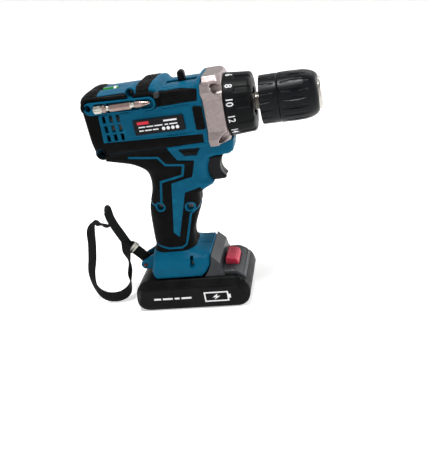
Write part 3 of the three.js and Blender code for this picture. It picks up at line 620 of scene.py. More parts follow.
def grip(x, y, z):
    """The handle with the trigger guard, widest under the barrel and narrow at the trigger."""
    half = 17.6 + 3.4 * ease(136, 158, z) * (1 - ease(30, 44, x)) - 3.8 * ease(36, 46, x)
    form = round_meet(GRIP_SIDE(x, z), np.abs(y) - half, 12 - 7 * ease(136, 150, z))
    return np.maximum(form, np.minimum(x - FRONT, z - 159.8))


def foot(x, y, z):
    """The flared block that takes the battery."""
    return round_meet(FOOT_SIDE(x, z), FOOT_SECTION(y, z), 4.5)


def body(x, y, z):
    """Barrel, grip and foot as one form."""
    upper = blend_union(barrel(x, y, z), grip(x, y, z), 4)
    return blend_union(upper, foot(x, y, z), 15)


# ---- where the rubber lies ----
BAND_ZONE = outline([
    (-75, 163.8), (6, 163.8), (40.6, 164.8), (41.2, 173.0), (-46.6, 175.6), (-44.9, 199.4), (41.8, 201.2),
    (43.0, 210.8), (10.6, 211.7), (3.0, 213.8), (2.4, 240), (-9.4, 240), (-9.4, 213.6), (-44.4, 213.6),
    (-48.6, 216), (-48.6, 240), (-75, 240),
], reach=8)
GRIP_ZONE = outline([
    (6, 163.6), (5.6, 160.5), (11.8, 149), (26.5, 147.2), (21.5, 131.5), (0.9, 127), (-7.8, 76.9), (-3, 71.5),
    (11.5, 116.8), (26.2, 120.2), (27.5, 112), (44, 106), (44, 57.6), (-60, 57.6), (-60, 163.6),
], reach=8)
UPPER_LINE = [
    (-31, 157), (-5.1, 153.8), (-0.1, 145.6), (15.7, 143.7), (12.6, 133.5), (-8.5, 129.5), (-13.1, 107.7),
    (-14.7, 104.8), (-24, 107.8), (-40, 110),
]
LOWER_LINE = [
    (40, 103), (21.7, 99), (12.3, 94.7), (1.7, 62.6), (-2.4, 60.6), (-14.8, 60.4), (-26.3, 63.6), (-40, 68),
]
GRIP_RINGS = [(-14.7, 104.8), (13.2, 101.9)]
TRAY = ((-54.4, 7.6), (201.2, 211.8))
TOP_BOSS = (-13.2, 214.2)
REAR_BOSS = (-52, 165.5)
PAD = ((36.5, 44.6), (177, 196.8))
NOWHERE = 50  # a field's value where a feature is left out


def tray_outline(x, z):
    """The bit tray's stadium, which falls a little towards the front."""
    return rounded_rectangle(x, z + 0.03 * (x + 46), TRAY, 5.2)


def tray_border(z):
    """How far the rubber reaches round the tray: broad above it and narrow below."""
    return 0.8 + 2.4 * ease(199, 207, z)


def band_cover(x, y, z):
    """Negative where the rear cap, the side bands and the top patch lie, and round the bit tray."""
    tray = tray_outline(x, z) - tray_border(z)
    cover = np.minimum(BAND_ZONE(x, z), np.where(y < -25, tray, NOWHERE))
    boss = np.hypot(x - TOP_BOSS[0], z - TOP_BOSS[1]) - 5
    leg = polyline(x, z, [(-15.2, 211.5), (-18.6, 206)]) - 1.6
    side = np.where(y < -14, np.minimum(boss, leg), NOWHERE)
    return np.maximum(cover, -side)


def grip_cover(x, z):
    """Negative where the grip's rubber lies, between the bare lines and rings."""
    lines = np.minimum(polyline(x, z, UPPER_LINE) - 1.1, polyline(x, z, LOWER_LINE) - 0.95)
    rings = np.minimum.reduce([np.hypot(x - u, z - v) - 4.9 for u, v in GRIP_RINGS])
    return np.maximum(GRIP_ZONE(x, z), -np.minimum(lines, rings))


# ---- housing halves ----
VENT_COLUMNS = (-41, -34.6, -28.3)
VENT_ROWS = (195.5, 187.2, 179.2)
BLIND_FLOOR = 26.4  # the middle column's vents are only pockets
SIDE_SLOTS = [((11.3, 19.7), 198.7), ((22.1, 34.3), 198.9), ((10.9, 19.9), 175.6), ((21.6, 34.5), 175.9)]
SCREWS = [  # x, z and how far the head's face lies from the middle plane
    (*TOP_BOSS, 20), (*REAR_BOSS, 18), *[(*ring, 13) for ring in GRIP_RINGS],
    (5.8, 43, 22), (-50.2, 205.6, 22),
]
FOOT_SCREW = 4
BUTTON_HOLE = outline([(14.6, 159.2), (34.2, 158.6), (29.8, 152), (19.2, 152.6)], reach=6)
PIN = (-46.3, 40.3)
LUG_SIDE = outline([
    (-46.6, 45.2), (-50.2, 43.4), (-51.2, 40), (-49, 36.2), (-45.4, 35.4), (-33, 36), (-33, 51.5),
    (-37, 50.4),
], reach=6)
SELECTOR_SLOT = ((11.4, 39.8), (-4.9, 4.9), (206, 230))
VIAL_WINDOW = ((-46.6, -30.6), (-3.9, 3.9), (210, 230))
TRIGGER_OPENING = ((30, 60), (-7.8, 7.8), (120.8, 145.7))
BATTERY_BAY = ((-33.4, 40), (-17.6, 17.6), (20, 38))


def side_openings(x, y, z):
    """Vents, slots, screw holes and the direction button's hole."""
    deep = np.abs(y)
    cuts = []
    for height in VENT_ROWS:
        for middle in VENT_COLUMNS:
            slot = rounded_rectangle(x, z, ((middle - 1.5, middle + 1.5), (height - 3, height + 3)), 0.4)
            floor = BLIND_FLOOR if middle == VENT_COLUMNS[1] else 20
            cuts.append(np.maximum(slot, floor - deep))
    for (start, end), height in SIDE_SLOTS:
        slot = rounded_rectangle(x, z, ((start, end), (height - 0.75, height + 0.75)), 0.5)
        cuts.append(np.maximum(slot, 28.2 - deep))
    for i, (x0, z0, head) in enumerate(SCREWS):
        hole = np.hypot(x - x0, z - z0) - 3.4
        if i == FOOT_SCREW:
            # The foot's screw lies at the bottom of a tapering slot.
            hole = polyline(x, z, [(5.8, 44.5), (5.8, 52)]) - 2.4 + 0.12 * (z - 44)
        cuts.append(np.maximum(hole, np.where(y < 0, head - 1 - deep, head + 3.4 - deep)))
    cuts.append(np.maximum(BUTTON_HOLE(x, z), 8 - deep))
    return np.minimum.reduce(cuts)


def other_openings(x, y, z):
    """The gearbox bore, the openings along the middle plane, the lamp's hole and the tray's seat."""
    return np.minimum.reduce([
        drum_field(y, z - AXIS_Z, x, 22.8, 34, 80),
        soft_box(x, y, z, SELECTOR_SLOT, 1.2),
        soft_box(x, y, z, VIAL_WINDOW, 1.2),
        soft_box(x, y, z, TRIGGER_OPENING, 1),
        soft_box(x, y, z, BATTERY_BAY, 0.6),
        rod_field((x, y, z), (52, 0, 140), (56.2, 0, 152), 3.3),
        np.where(y < 0, np.maximum(tray_outline(x, z) - 0.3, y + 27.2), NOWHERE),
    ])


def groove(distance, width, depth):
    """How deep a soft groove lies at a distance from its middle line."""
    return depth * np.exp(-((distance / width) ** 2))


def shell_grooves(x, y, z):
    """Grooves above and below the side panel, beside the selector, and at the front and rear of the foot."""
    deep = np.abs(y)
    edges = np.minimum(polyline(x, z, [(4.5, 197.4), (41, 197)]), polyline(x, z, [(-24, 177.4), (41, 174.6)]))
    panel = np.where(deep > 20, groove(edges, 0.45, 0.45), 0)
    rail = (z > 205) * (x > 11) * (x < 43) * groove(deep - 17.5, 0.5, 0.55)
    front = groove(x - 21.6 + (54 - z) * 0.5, 0.5, 0.5) * (z < 54) * (z > 33)
    rear = groove(polyline(x, z, [(-33, 46), (-27, 37), (-22.5, 32)]), 0.4, 0.4) * (z < 47)
    return panel + rail + front + rear


def housing_pillars(x, y, z, form):
    """Screw pillars, the raised rings on the grip, the bosses and the two lugs for the strap's pin."""
    deep = np.abs(y)
    pillars = [np.maximum(np.hypot(x - x0, z - z0) - 4.6, form + RECESS) for x0, z0, _ in SCREWS]
    rings = [np.abs(np.hypot(x - u, z - v) - 4.1) - 0.8 for u, v in GRIP_RINGS]
    pillars.append(np.maximum(np.minimum(*rings), form - 0.35))
    top_boss = np.hypot(x - TOP_BOSS[0], z - TOP_BOSS[1]) - 4.6
    pillars.append(round_meet(top_boss, np.maximum(-26.4 - y, y + 12), 0.5))
    rear_boss = np.hypot(x - REAR_BOSS[0], z - REAR_BOSS[1]) - 5.2
    pillars.append(round_meet(rear_boss, deep - 26.3, 0.4))
    pillars.append(round_meet(LUG_SIDE(x, z), np.abs(deep - 10.2) - 2, 0.7))
    return np.minimum.reduce(pillars)


def housing(x, y, z):
    """The hollow shell, sunk where rubber covers it, with its pillars and openings."""
    form = body(x, y, z)
    cover = np.minimum(band_cover(x, y, z), grip_cover(x, z))
    shell = form + RECESS * (1 - ease(-0.45, -0.05, cover)) + shell_grooves(x, y, z)
    shell = np.maximum(shell, -(form + WALL))
    solid = np.minimum(shell, housing_pillars(x, y, z, form))
    openings = np.minimum(side_openings(x, y, z), other_openings(x, y, z))
    pin = np.hypot(x - PIN[0], z - PIN[1]) - 2.1
    return np.maximum(np.maximum(solid, -openings), -pin)


def rubber_skin(x, y, z, cover):
    """Rubber from its seat on the housing to its outer face, wherever the cover is negative."""
    form = body(x, y, z)
    skin = round_meet(form - PROUD, cover, 0.75)
    return np.maximum(skin, -(form + RECESS - 0.1))


def ridges(value, pitch):
    """Waves of 0 to 1 with a flat stretch between each two."""
    return np.maximum(np.cos(value * 2 * math.pi / pitch), 0)


def band_grooves(x, y, z):
    """Flutes round the rear cap, and grooves across the patch on top and along the side bands."""
    deep = np.abs(y)
    around = np.where(x < -49, deep, 29.5 + (x + 49))
    flute = ridges(around, 3.6) * (1 - ease(-51, -47, x)) * ease(176, 180, z)
    flute = flute * (1 - ease(197, 200, z)) * ease(14, 17, deep)
    patch = ridges(x + 3.5, 3.2) * ease(213, 215, z) * (1 - ease(8, 10, np.abs(x + 3)))
    middle = groove(z - 206.6, 0.5, 1) * ease(10, 13, x) * (1 - ease(38, 41, x))
    return 0.55 * flute + 0.5 * patch + 0.3 * middle


def overmold(x, y, z):
    """The rubber of the barrel, with the tray's border and the ribbed pad beside the collar."""
    deep = np.abs(y)
    skin = rubber_skin(x, y, z, band_cover(x, y, z)) + band_grooves(x, y, z)
    tray = tray_outline(x, z)
    border = np.maximum(tray - tray_border(z), 0.5 - tray)
    border = round_meet(border, np.maximum(deep - 31.6, 27 - deep), 0.7)
    ribs = 0.3 * np.sqrt(ridges(z - 177, 4.95))
    pad = round_meet(rounded_rectangle(x, z, PAD, 1.2), np.maximum(deep - 30.6 + ribs, 28 - deep), 0.5)
    skin = np.minimum(skin, np.minimum(np.where(y < 0, border, NOWHERE), pad))
    # The lower rear screw boss, with an arc of the housing left bare round its mouth.
    spot = np.hypot(x - REAR_BOSS[0], z - REAR_BOSS[1])
    boss = round_meet(spot - 6, deep - 26.8, 1.2)
    bare = np.maximum(np.abs(spot - 4.7) - 0.45, np.maximum(REAR_BOSS[1] + 0.5 - z, 24 - deep))
    skin = np.maximum(np.minimum(skin, boss), -bare)
    openings = np.minimum(side_openings(x, y, z), other_openings(x, y, z))
    return np.maximum(skin, -openings)


def grip_rubber(x, y, z):
    skin = rubber_skin(x, y, z, grip_cover(x, z))
    return np.maximum(skin, -side_openings(x, y, z))


def make_housing(finishes):
    for side, sign in (("right", -1), ("left", 1)):
        low, high = (-64, min(38 * sign, 0), 28), (66, max(38 * sign, 0), 224)

        def half(field, sign=sign):
            return lambda x, y, z: np.maximum(field(x, y, z), HALF_GAP - sign * y)

        for name, field, finish, slot, node in (
            ("housing_shell", housing, "teal", "housing_teal", "housing"),
            ("rubber_bands", overmold, "rubber", "overmold_rubber", "overmold"),
            ("rubber_grip", grip_rubber, "rubber", "overmold_rubber", "grip"),
        ):
            field_piece(f"{side}_{name}", half(field), low, high, finishes[finish], "housing", slot,
                        [f"{side}_{node}"], PITCH, 0.4)


# ---- bit tray and what it holds ----
def bit_tray(x, y, z):
    """The moulding that the bit lies in: a pocket, four clips, a shelf at its rear and a screw boss."""
    frame_shape = round_meet(tray_outline(x, z), np.maximum(-33 - y, y + 27.8), 0.5)
    z = z + 0.03 * (x + 46)
    pocket = rounded_rectangle(x, z, ((-46.2, 6.2), (202.5, 210.5)), 3.8)
    pocket = np.maximum(pocket, y + 29.2)
    boss = np.hypot(x + 50.8, z - 207.4) - 2.9
    mouth = soft_box(x, y, z, ((-56, -50.4), (-40, -29.4), (206.4, 209.4)), 0.8)
    tray = np.maximum(frame_shape, -np.minimum(pocket, np.minimum(boss, mouth)))
    clips = [
        drum_field(x - u, z - v, y, 1.25, -32.8, -28.5, 0.3)
        for u, v in ((-34.6, 210.6), (-9.4, 210.6), (-29.6, 202.4), (-5.2, 202.4))
    ]
    shelf = soft_box(x, y, z, ((-47.4, -45.4), (-32.6, -28.5), (202, 211)), 0.4)
    return np.minimum(tray, np.minimum(shelf, np.minimum.reduce(clips)))


BIT = [
    (-45.4, 0), (-45.4, 2.9), (-44.9, 3.3), (-39.6, 3.3), (-39.2, 2.9), (-38.4, 2.9), (-37, 3.5),
    (-35.2, 3.5), (-33.8, 2.2), (-32.4, 2.0), (-31.6, 2.6), (-30.9, 3.1), (-13.4, 3.1), (-12.6, 2.6),
    (-11.8, 2.0), (-10.2, 2.0), (-9.2, 2.7), (-4.4, 2.8), (-3, 2.3), (2.4, 1.2), (3.3, 0.5), (3.4, 0),
]
BIT_PLACE = (-32.4, 205.7)
HIGHLIT_STRETCHES = ((-46, -37.6), (-34.2, -31), (-13.2, -9.6))  # stretches of the bit in the pale steel, as a painted highlight on its rear end and necks


def bit_relief(x, r, a):
    """Six flats along the shank, four flutes ground into the tip and teeth round the rear end."""
    hexagon = np.cos(np.mod(a, math.pi / 3) - math.pi / 6)
    flats = r * (1 - math.cos(math.pi / 6) / hexagon) * (np.abs(x + 22.1) < 9)
    flutes = 1.2 * np.maximum(np.cos(4 * a), 0) * ease(-5.6, -1.4, x) * (r > 0.6)
    teeth = 0.5 * np.maximum(np.cos(6 * a), 0) * (x < -38.9) * (r > 2)
    return flats + np.minimum(flutes, 0.75 * r) + teeth


def magnet(x, y, z):
    """The block beside the tray's front end."""
    return soft_box(x, y, z, ((7.6, 11.6), (-32.8, -28.6), (208.6, 212.8)), 0.7)


def make_tray(finishes):
    field_piece("bit_tray_moulding", bit_tray, (-56, -34, 198), (9, -27, 213), finishes["teal"], "housing",
                "housing_teal", ["bit_tray"], 0.34, 0.6)
    steels = [finishes["brown_steel"], finishes["pale_steel"]]
    bit = lathe("screwdriver_bit_ground", BIT, steels, "screwdriver_bit", "screw_steel", ["screwdriver_bit"],
                72, bit_relief, 0.45, BIT_PLACE)
    # The pale steel on these stretches paints the highlight on the bit's rear end and necks.
    for face in bit.data.polygons:
        face.material_index = int(any(low < face.center.x / MM < high for low, high in HIGHLIT_STRETCHES))
    field_piece("bit_magnet_block", magnet, (7, -34, 208), (12, -28, 214), finishes["grey"], "housing",
                "control_black", ["bit_magnet"], 0.25, 1)


# ---- flat prints ----
def print_plate(name, shapes, place, material, body, slot, height=0.07):
    """Flat marks: closed outlines in a plane, given a little thickness. place(u, v, w) puts a point in
    the part's frame, with w the height over the surface."""
    sheet = bmesh.new()
    for points in shapes:
        lower = [sheet.verts.new(Vector(place(u, v, -0.02)) * MM) for u, v in points]
        upper = [sheet.verts.new(Vector(place(u, v, height)) * MM) for u, v in points]
        sheet.faces.new(upper)
        sheet.faces.new(lower[::-1])
        for i in range(len(points)):
            j = (i + 1) % len(points)
            sheet.faces.new((lower[i], lower[j], upper[j], upper[i]))
    bmesh.ops.recalc_face_normals(sheet, faces=sheet.faces)
    bmesh.ops.triangulate(sheet, faces=sheet.faces)
    mesh = bpy.data.meshes.new(name)
    sheet.to_mesh(mesh)
    sheet.free()
    return finish_piece(name, mesh, material, body, slot, (), 30)


def bar_shape(u0, u1, v0, v1):
    return [(u0, v0), (u1, v0), (u1, v1), (u0, v1)]


def disc_shape(u, v, r, sides=20):
    turns = [2 * math.pi * i / sides for i in range(sides)]
    return [(u + r * math.cos(turn), v + r * math.sin(turn)) for turn in turns]


LABEL_FACE = 30.4  # from the middle plane
LABEL = ((-16, 27.8), (179, 192))


def label_plate(x, y, z):
    depth = np.maximum(-LABEL_FACE - y, y + LABEL_FACE - 1.2)
    return round_meet(rounded_rectangle(x, z, LABEL, 0.8), depth, 0.15)


def make_label(finishes):
    """The plate with plain bars and small round signs in place of its text."""

    def on_label(u, v, w):
        return (u, -LABEL_FACE - w, v)

    middle_row = ((-12, -6), (-5, 1), (2, 9), (11, 14), (15, 22))
    lower_row = ((-12, -8), (-7, -1), (0, 5))
    white = [bar_shape(10.5, 22, 188.2, 189.6)]
    white += [bar_shape(start, end, 185.1, 186.1) for start, end in middle_row]
    white += [bar_shape(start, end, 182, 183) for start, end in lower_row]
    white += [disc_shape(9.4 + 4 * i, 182.4, 1.5) for i in range(4)]
    red = [bar_shape(-12.5, -2.4, 187.8, 190.2)]
    print_plate("label_marks_white", white, on_label, finishes["print"], "housing", "control_black")
    print_plate("label_marks_red", red, on_label, finishes["print_red"], "housing", "button_red")
    field_piece("rating_label_plate", label_plate, (-17, -31, 178), (29, -29, 193), finishes["satin"],
                "housing", "control_black", ["rating_label"], 0.4, 0.3)


# ---- level vial, speed selector, direction button, trigger ----
VIAL = [(-46, 0), (-46, 2.2), (-45.2, 3), (-32, 3), (-31.2, 2.2), (-31.2, 0)]
BUBBLE = [(-36, 0), (-36, 1.6), (-35.2, 2.8), (-33, 2.8), (-32.2, 1.6), (-32.2, 0)]
VIAL_HEIGHT = 213.1


def speed_selector(x, y, z):
    """A slide with fine grooves and a rounded thumb knob."""
    base = soft_box(x, y, z, ((17, 34), (-4.4, 4.4), (208.8, 211.6)), 0.5)
    grooves = 0.35 * ridges(x, 1.7) * (z > 211)
    side = rounded_rectangle(x, z, ((22.6, 28.6), (211, 221.8)), 2.9)
    knob = round_meet(side, np.abs(y) - 3.9, 1.8)
    return blend_union(base + grooves, knob, 1)


DIRECTION_SIDE = outline([(15.0, 158.8), (33.6, 158.3), (29.4, 152.4), (19.6, 153)], reach=5)


def direction_button(x, y, z):
    """A bar through the grip, dished at both ends."""
    face = round_meet(DIRECTION_SIDE(x, z), np.abs(y) - 20.9, 0.5)
    dished = soft_box(x, np.abs(y), z, ((17.4, 31.4), (20.2, 24), (156.3, 158)), 0.3)
    return np.maximum(face, -dished)


TRIGGER_FRONT = spline([
    (50.8, 145.2), (48.2, 140.5), (46.5, 135.5), (46.6, 131), (48.6, 127), (50.6, 124.6),
], 5)
TRIGGER_SIDE = outline([(31, 121.6), (31, 145), *TRIGGER_FRONT, (50.4, 123.2), (48.6, 121.6)], reach=6)


def trigger(x, y, z):
    """The lever, dished for a finger, with a pocket in its rear for the spring."""
    dish = groove(y, 4.5, 1.0) * ease(42, 46, x)
    pocket = np.maximum(np.hypot(y, z - 133) - 5.2, x - 38.6)
    return np.maximum(round_meet(TRIGGER_SIDE(x, z) + dish, np.abs(y) - 7.3, 2.4), -pocket)


def make_controls(finishes):
    lathe("level_vial_tube", VIAL, finishes["spirit"], "housing", "vial_green", ["level_vial"], 48, None, 0.8,
          (0, VIAL_HEIGHT))
    lathe("level_vial_bubble", BUBBLE, finishes["bubble"], "housing", "vial_green", (), 32, None, 0.8,
          (0, VIAL_HEIGHT + 0.4))
    field_piece("speed_selector_slide", speed_selector, (13, -5, 208), (39, 5, 223), finishes["black"],
                "speed_selector", "control_black", ["speed_selector"], 0.3, 0.6)
    field_piece("direction_button_bar", direction_button, (14, -22, 151), (35, 22, 160), finishes["black"],
                "direction_button", "control_black", ["direction_button"], 0.35, 0.4)
    field_piece("trigger_lever", trigger, (30, -8, 120), (52, 8, 147), finishes["satin"], "trigger",
                "control_black", ["trigger"], 0.34, 0.5)


# ---- gearbox collar ----
COLLAR_OUTLINE = outline(both_sides([
    (17, 217), (22.4, 211), (28.6, 203), (28.8, 172), (24.4, 163.4), (18, 158.6),
]))
LOBES = [(sy * 24.8, AXIS_Z + sz * 19.8) for sy, sz in ((-1, 1), (-1, -1), (1, 1), (1, -1))]
POCKET_SPREAD = 1.02  # how much further out the screws' pockets lie than the lobes' middles
COLLAR_SLOPE = 0.85  # of the bevel, across to along


def hexagon(u, v, r):
    """A six-sided bar's section with a corner towards each side, r from its middle to a flat."""
    return np.maximum(np.abs(v), np.abs(u) * math.cos(math.pi / 6) + np.abs(v) / 2) - r


def collar(x, y, z):
    """The casting with its four lobes, bevelled round the front, and pockets for their screws."""
    radius = np.hypot(y, z - AXIS_Z)
    casting = round_meet(COLLAR_OUTLINE(y, z), np.maximum(45.3 - x, x - 61.6), 0.7)
    lobes = np.minimum.reduce([hexagon(y - u, z - v, 6.4) for u, v in LOBES])
    lobes = round_meet(lobes, np.maximum(45.3 - x, x - 61), 0.4)
    bevel = (radius - 30.6 - (61.6 - x) * COLLAR_SLOPE) / math.hypot(1, COLLAR_SLOPE)
    form = round_meet(np.minimum(casting, lobes), bevel, 0.2)
    pockets = np.minimum.reduce([
        np.hypot(y - u * POCKET_SPREAD, z - AXIS_Z - (v - AXIS_Z) * POCKET_SPREAD) for u, v in LOBES
    ])
    pockets = np.maximum(pockets - 4.6 - 0.7 * ease(-0.7, 0, bevel), 50.4 - x)
    bore = np.where(x < 58.6, radius - 22.4, radius - 20)
    # Under the barrel the casting stops short, to leave room for the housing's chin.
    under = np.where(np.abs(y) < 15, 160 - z, -NOWHERE)
    front_under = np.minimum(161.8 - z, x - 53)
    return np.maximum.reduce([form, -pockets, -bore, under, front_under])


def screw_field(origin, axis, head_radius, shank_end):
    """A pan head screw with a cross recess, its head's face at origin and its shank along axis."""
    origin, axis = np.asarray(origin, float), np.asarray(axis, float)
    side = np.array([0, 1, 0]) if abs(axis[0]) > 0.5 else np.array([1, 0, 0])
    other = np.cross(axis, side)

    def field(x, y, z):
        offset = np.stack([x - origin[0], y - origin[1], z - origin[2]], -1)
        t, u, v = offset @ axis, offset @ side, offset @ other
        head = round_meet(np.hypot(u, v) - head_radius, np.maximum(-t, t - 2.4), 0.8)
        shank = np.maximum(np.hypot(u, v) - 1.5, np.maximum(-t + 1, t - shank_end))
        along, over = np.abs(u), np.abs(v)
        cross = np.minimum(np.maximum(along - 0.42, over - 2), np.maximum(over - 0.42, along - 2))
        cross = np.maximum(cross, t + 0.5 * np.hypot(u, v) - 1.5)
        return np.maximum(np.minimum(head, shank), -cross)

    return field


def make_collar(finishes):
    field_piece("gearbox_collar_casting", collar, (44, -33, 155), (63, 33, 219), finishes["silver"],
                "housing", "collar_silver", ["gearbox_collar"], 0.36, 0.35, sharp=25)
    for i, (y, z) in enumerate(LOBES):
        screw = screw_field((53.2, y, z), (-1, 0, 0), head_radius=3.1, shank_end=8.5)
        field_piece(f"collar_screw_{i + 1}_turned", screw, (43, y - 4, z - 4), (55, y + 4, z + 4),
                    finishes["steel"], "housing", "screw_steel", [f"collar_screw_{i + 1}"], 0.3, 0.6)
    for i, (x, z, head) in enumerate(SCREWS):
        screw = screw_field((x, -head + 0.2, z), (0, 1, 0), head_radius=2.9, shank_end=28)
        field_piece(f"housing_screw_{i + 1}_turned", screw, (x - 4, -head - 1, z - 4), (x + 4, 10, z + 4),
                    finishes["dark_steel"], "housing", "screw_steel", [f"housing_screw_{i + 1}"], 0.34, 0.6)


# ---- torque ring and chuck ----
NUMBER_COUNT = 12
NUMBER_STEP = 2 * math.pi / NUMBER_COUNT
NUMBER_SIZE = 7.6
NUMBERS_AT = 63.9  # where the numbers stand along x
FIRST_NUMBER = math.radians(41.8)  # the angle of the ring's "2"
RING_RADIUS = 26.6  # at its rear edge, at 62.3 along x
RING_TAPER = 0.08
RING = [
    (61.9, 20.4), (61.9, 26.2), (62.3, RING_RADIUS), (82, 25), (83.4, 24.4), (84.2, 23), (84.4, 21),
    (84.4, 12.2), (80.6, 12.2), (80.6, 20.4),
]


def ring_relief(x, r, a):
    """Grip recesses ahead of the numbers, one to each."""
    turn = np.mod(a - FIRST_NUMBER - math.radians(8) + NUMBER_STEP / 2, NUMBER_STEP) - NUMBER_STEP / 2
    width = math.radians(5.2)
    recess = ease(-width * 1.15, -width * 0.9, turn) * (1 - ease(width * 0.6, width * 1.25, turn))
    return 0.85 * recess * ease(70.2, 71.4, x) * (r > 22)


def number_mesh(text):
    """A flat mesh of a number, in millimetres, with its middle line at u = 0."""
    curve = bpy.data.curves.new("dial", "FONT")
    curve.body = text
    curve.size = NUMBER_SIZE
    curve.extrude = 0.05
    curve.offset = 0.09
    curve.align_x = "CENTER"
    holder = bpy.data.objects.new("dial", curve)
    bpy.context.collection.objects.link(holder)
    mesh = bpy.data.meshes.new_from_object(holder.evaluated_get(bpy.context.evaluated_depsgraph_get()))
    bpy.data.objects.remove(holder)
    return mesh


def bend_number(mesh, angle):
    """Lays a flat number on the ring's cone at an angle and lets it follow the round."""
    part = bmesh.new()
    part.from_mesh(mesh)
    bmesh.ops.triangulate(part, faces=part.faces)
    for vertex in part.verts:
        u, v, w = vertex.co
        x = NUMBERS_AT + v * 1.08
        radius = RING_RADIUS + 0.05 - RING_TAPER * (x - 62.3) + w
        a = angle + u * 0.95 / radius
        vertex.co = (x * MM, radius * math.cos(a) * MM, (AXIS_Z + radius * math.sin(a)) * MM)
    bmesh.ops.recalc_face_normals(part, faces=part.faces)
    part.to_mesh(mesh)
    part.free()


def make_ring(finishes):
    lathe("torque_ring_moulding", RING, finishes["black"], "torque_ring", "control_black", ["torque_ring"],
          360, ring_relief, 0.9)
    joined = bmesh.new()
    for i in range(NUMBER_COUNT):
        mesh = number_mesh(str(2 * i + 2))
        bend_number(mesh, FIRST_NUMBER + i * NUMBER_STEP)
        joined.from_mesh(mesh)
        bpy.data.meshes.remove(mesh)
    numbers = bpy.data.meshes.new("torque_ring_numbers")
    joined.to_mesh(numbers)
    joined.free()
    finish_piece("torque_ring_numbers", numbers, finishes["print"], "torque_ring", "control_black", sharp=30)


FLUTE_STEP = math.radians(20)
FLUTE_PHASE = math.radians(121)


def flute_relief(start, end, front_point):
    """Leaf-shaped flutes between two stations, pointed at the front only or else at both ends."""

    def relief(x, r, a):
        turn = np.abs(np.mod(a - FLUTE_PHASE, FLUTE_STEP) - FLUTE_STEP / 2)
        along = np.clip((x - start) / (end - start), 0, 1)
        full = 1 - along if front_point else np.sin(math.pi * along)
        spread = np.sqrt(np.clip(full, 0, 1))
        width = math.radians(5.2) * spread + 1e-6
        depth = 0.8 * spread * (1 - ease(0.55, 1.0, turn / width))
        return depth * (r > 17.9) * (x > start - 0.01) * (x < end)

    return relief


REAR_SLEEVE = [
    (89.9, 14.4), (89.9, 20.0), (90.4, 20.45), (104.4, 20.5), (105.2, 20.1), (105.3, 17.7), (93, 17.7),
    (93, 14.4),
]
FRONT_SLEEVE = [
    (105.6, 17.7), (105.6, 20.3), (106, 20.7), (118, 20.75),
    *spline([(126, 20.35), (131, 19.3), (134.6, 17.8), (136.8, 16), (137.8, 14.4)], 5),
    (137.4, 13.9), (134.6, 13.9), (126, 16.6), (120, 17.7),
]
NOSE_RING = [(135.2, 11), (135.2, 13.5), (138.2, 13.6), (139.6, 13.2), (140.6, 12), (140.7, 11)]
NECK = [
    (84.7, 5.4), (84.7, 7.2), (85.4, 7.5), (86, 7.0), (86.5, 7.5), (87.1, 7.0), (87.6, 7.5), (88.2, 7.0),
    (88.7, 7.4), (89.5, 7.1), (89.5, 5.4),
]


def make_chuck(finishes):
    lathe("chuck_rear_sleeve_moulding", REAR_SLEEVE, finishes["satin"], "spindle", "control_black",
          ["chuck_rear_sleeve"], 360, flute_relief(90, 102.5, True), 0.7)
    lathe("chuck_front_sleeve_moulding", FRONT_SLEEVE, finishes["satin"], "chuck_sleeve", "control_black",
          ["chuck_front_sleeve"], 360, flute_relief(107.4, 130.5, False), 0.7)
    lathe("chuck_nose_ring", NOSE_RING, finishes["steel"], "spindle", "machined_steel", (), 96, None, 0.8)
    lathe("spindle_neck_rings", NECK, finishes["steel"], "spindle", "machined_steel", (), 64, None, 0.5)


# ---- battery ----
BATTERY_SIDE = 35.15  # from the middle plane
SEAM = 24.6  # height of the joint between the two cases


def battery_form(x, y, z):
    """The case from outside, bevelled along its long sides and more so above the base."""
    low = rounded_rectangle(x, z, ((-57.6, 57.6), (0, 45)), 13)
    high = rounded_rectangle(x, z, ((-57.6, 57.6), (-20, 31)), 17)
    side = np.maximum(low, high)
    face = np.abs(y) - BATTERY_SIDE
    edge = 1.6 + 4.6 * ease(5, 17, z)
    bevelled = (side + face + edge) / math.sqrt(2)
    return round_meet(np.maximum(side, face), bevelled, 0.8)


def battery_shell(x, y, z):
    form = battery_form(x, y, z)
    return np.maximum(form + groove(z - SEAM, 0.35, 0.35), -(form + 2.2))


def battery_lower(x, y, z):
    return np.maximum(battery_shell(x, y, z), z - SEAM + 0.08)


def battery_upper(x, y, z):
    """The upper case with the rails, the contact slots, the seat of its cover and two small arrow marks."""
    rail = soft_box(x, y, z, ((-30, 13), (-14.5, 14.5), (29, 37.4)), 0.6)
    lips = soft_box(x, y, z, ((-30, 13), (-17, 17), (34.4, 37.4)), 0.5)
    seat = soft_box(x, y, z, ((14.8, 54.9), (-25, 25), (26.4, 60)), 0.4)
    slots = [
        soft_box(x, y, z, ((-31, -14), (middle - 1, middle + 1), (32, 39)), 0.2)
        for middle in (-9, -3, 3, 9)
    ]
    marks = np.maximum(np.abs(x - 51.6) + 0.9 * np.abs(np.abs(y) - 28.6) - 1.7, -battery_form(x, y, z) - 0.9)
    solid = np.minimum(battery_shell(x, y, z), np.minimum(rail, lips))
    solid = np.maximum(solid, -np.minimum(seat, np.minimum.reduce([marks, *slots])))
    return np.maximum(solid, SEAM + 0.08 - z)


HOOD_SIDE = outline([
    (15.6, 30.9), (19.6, 36.6), (23.2, 43.2), (24.6, 52.8), (32.2, 44.2), (33.2, 36), (36, 28), (15.6, 28),
], reach=6)
HOOD_SECTION = outline(both_sides([(24.4, 54), (25.4, 45), (27, 30), (27, 20)]), reach=6)


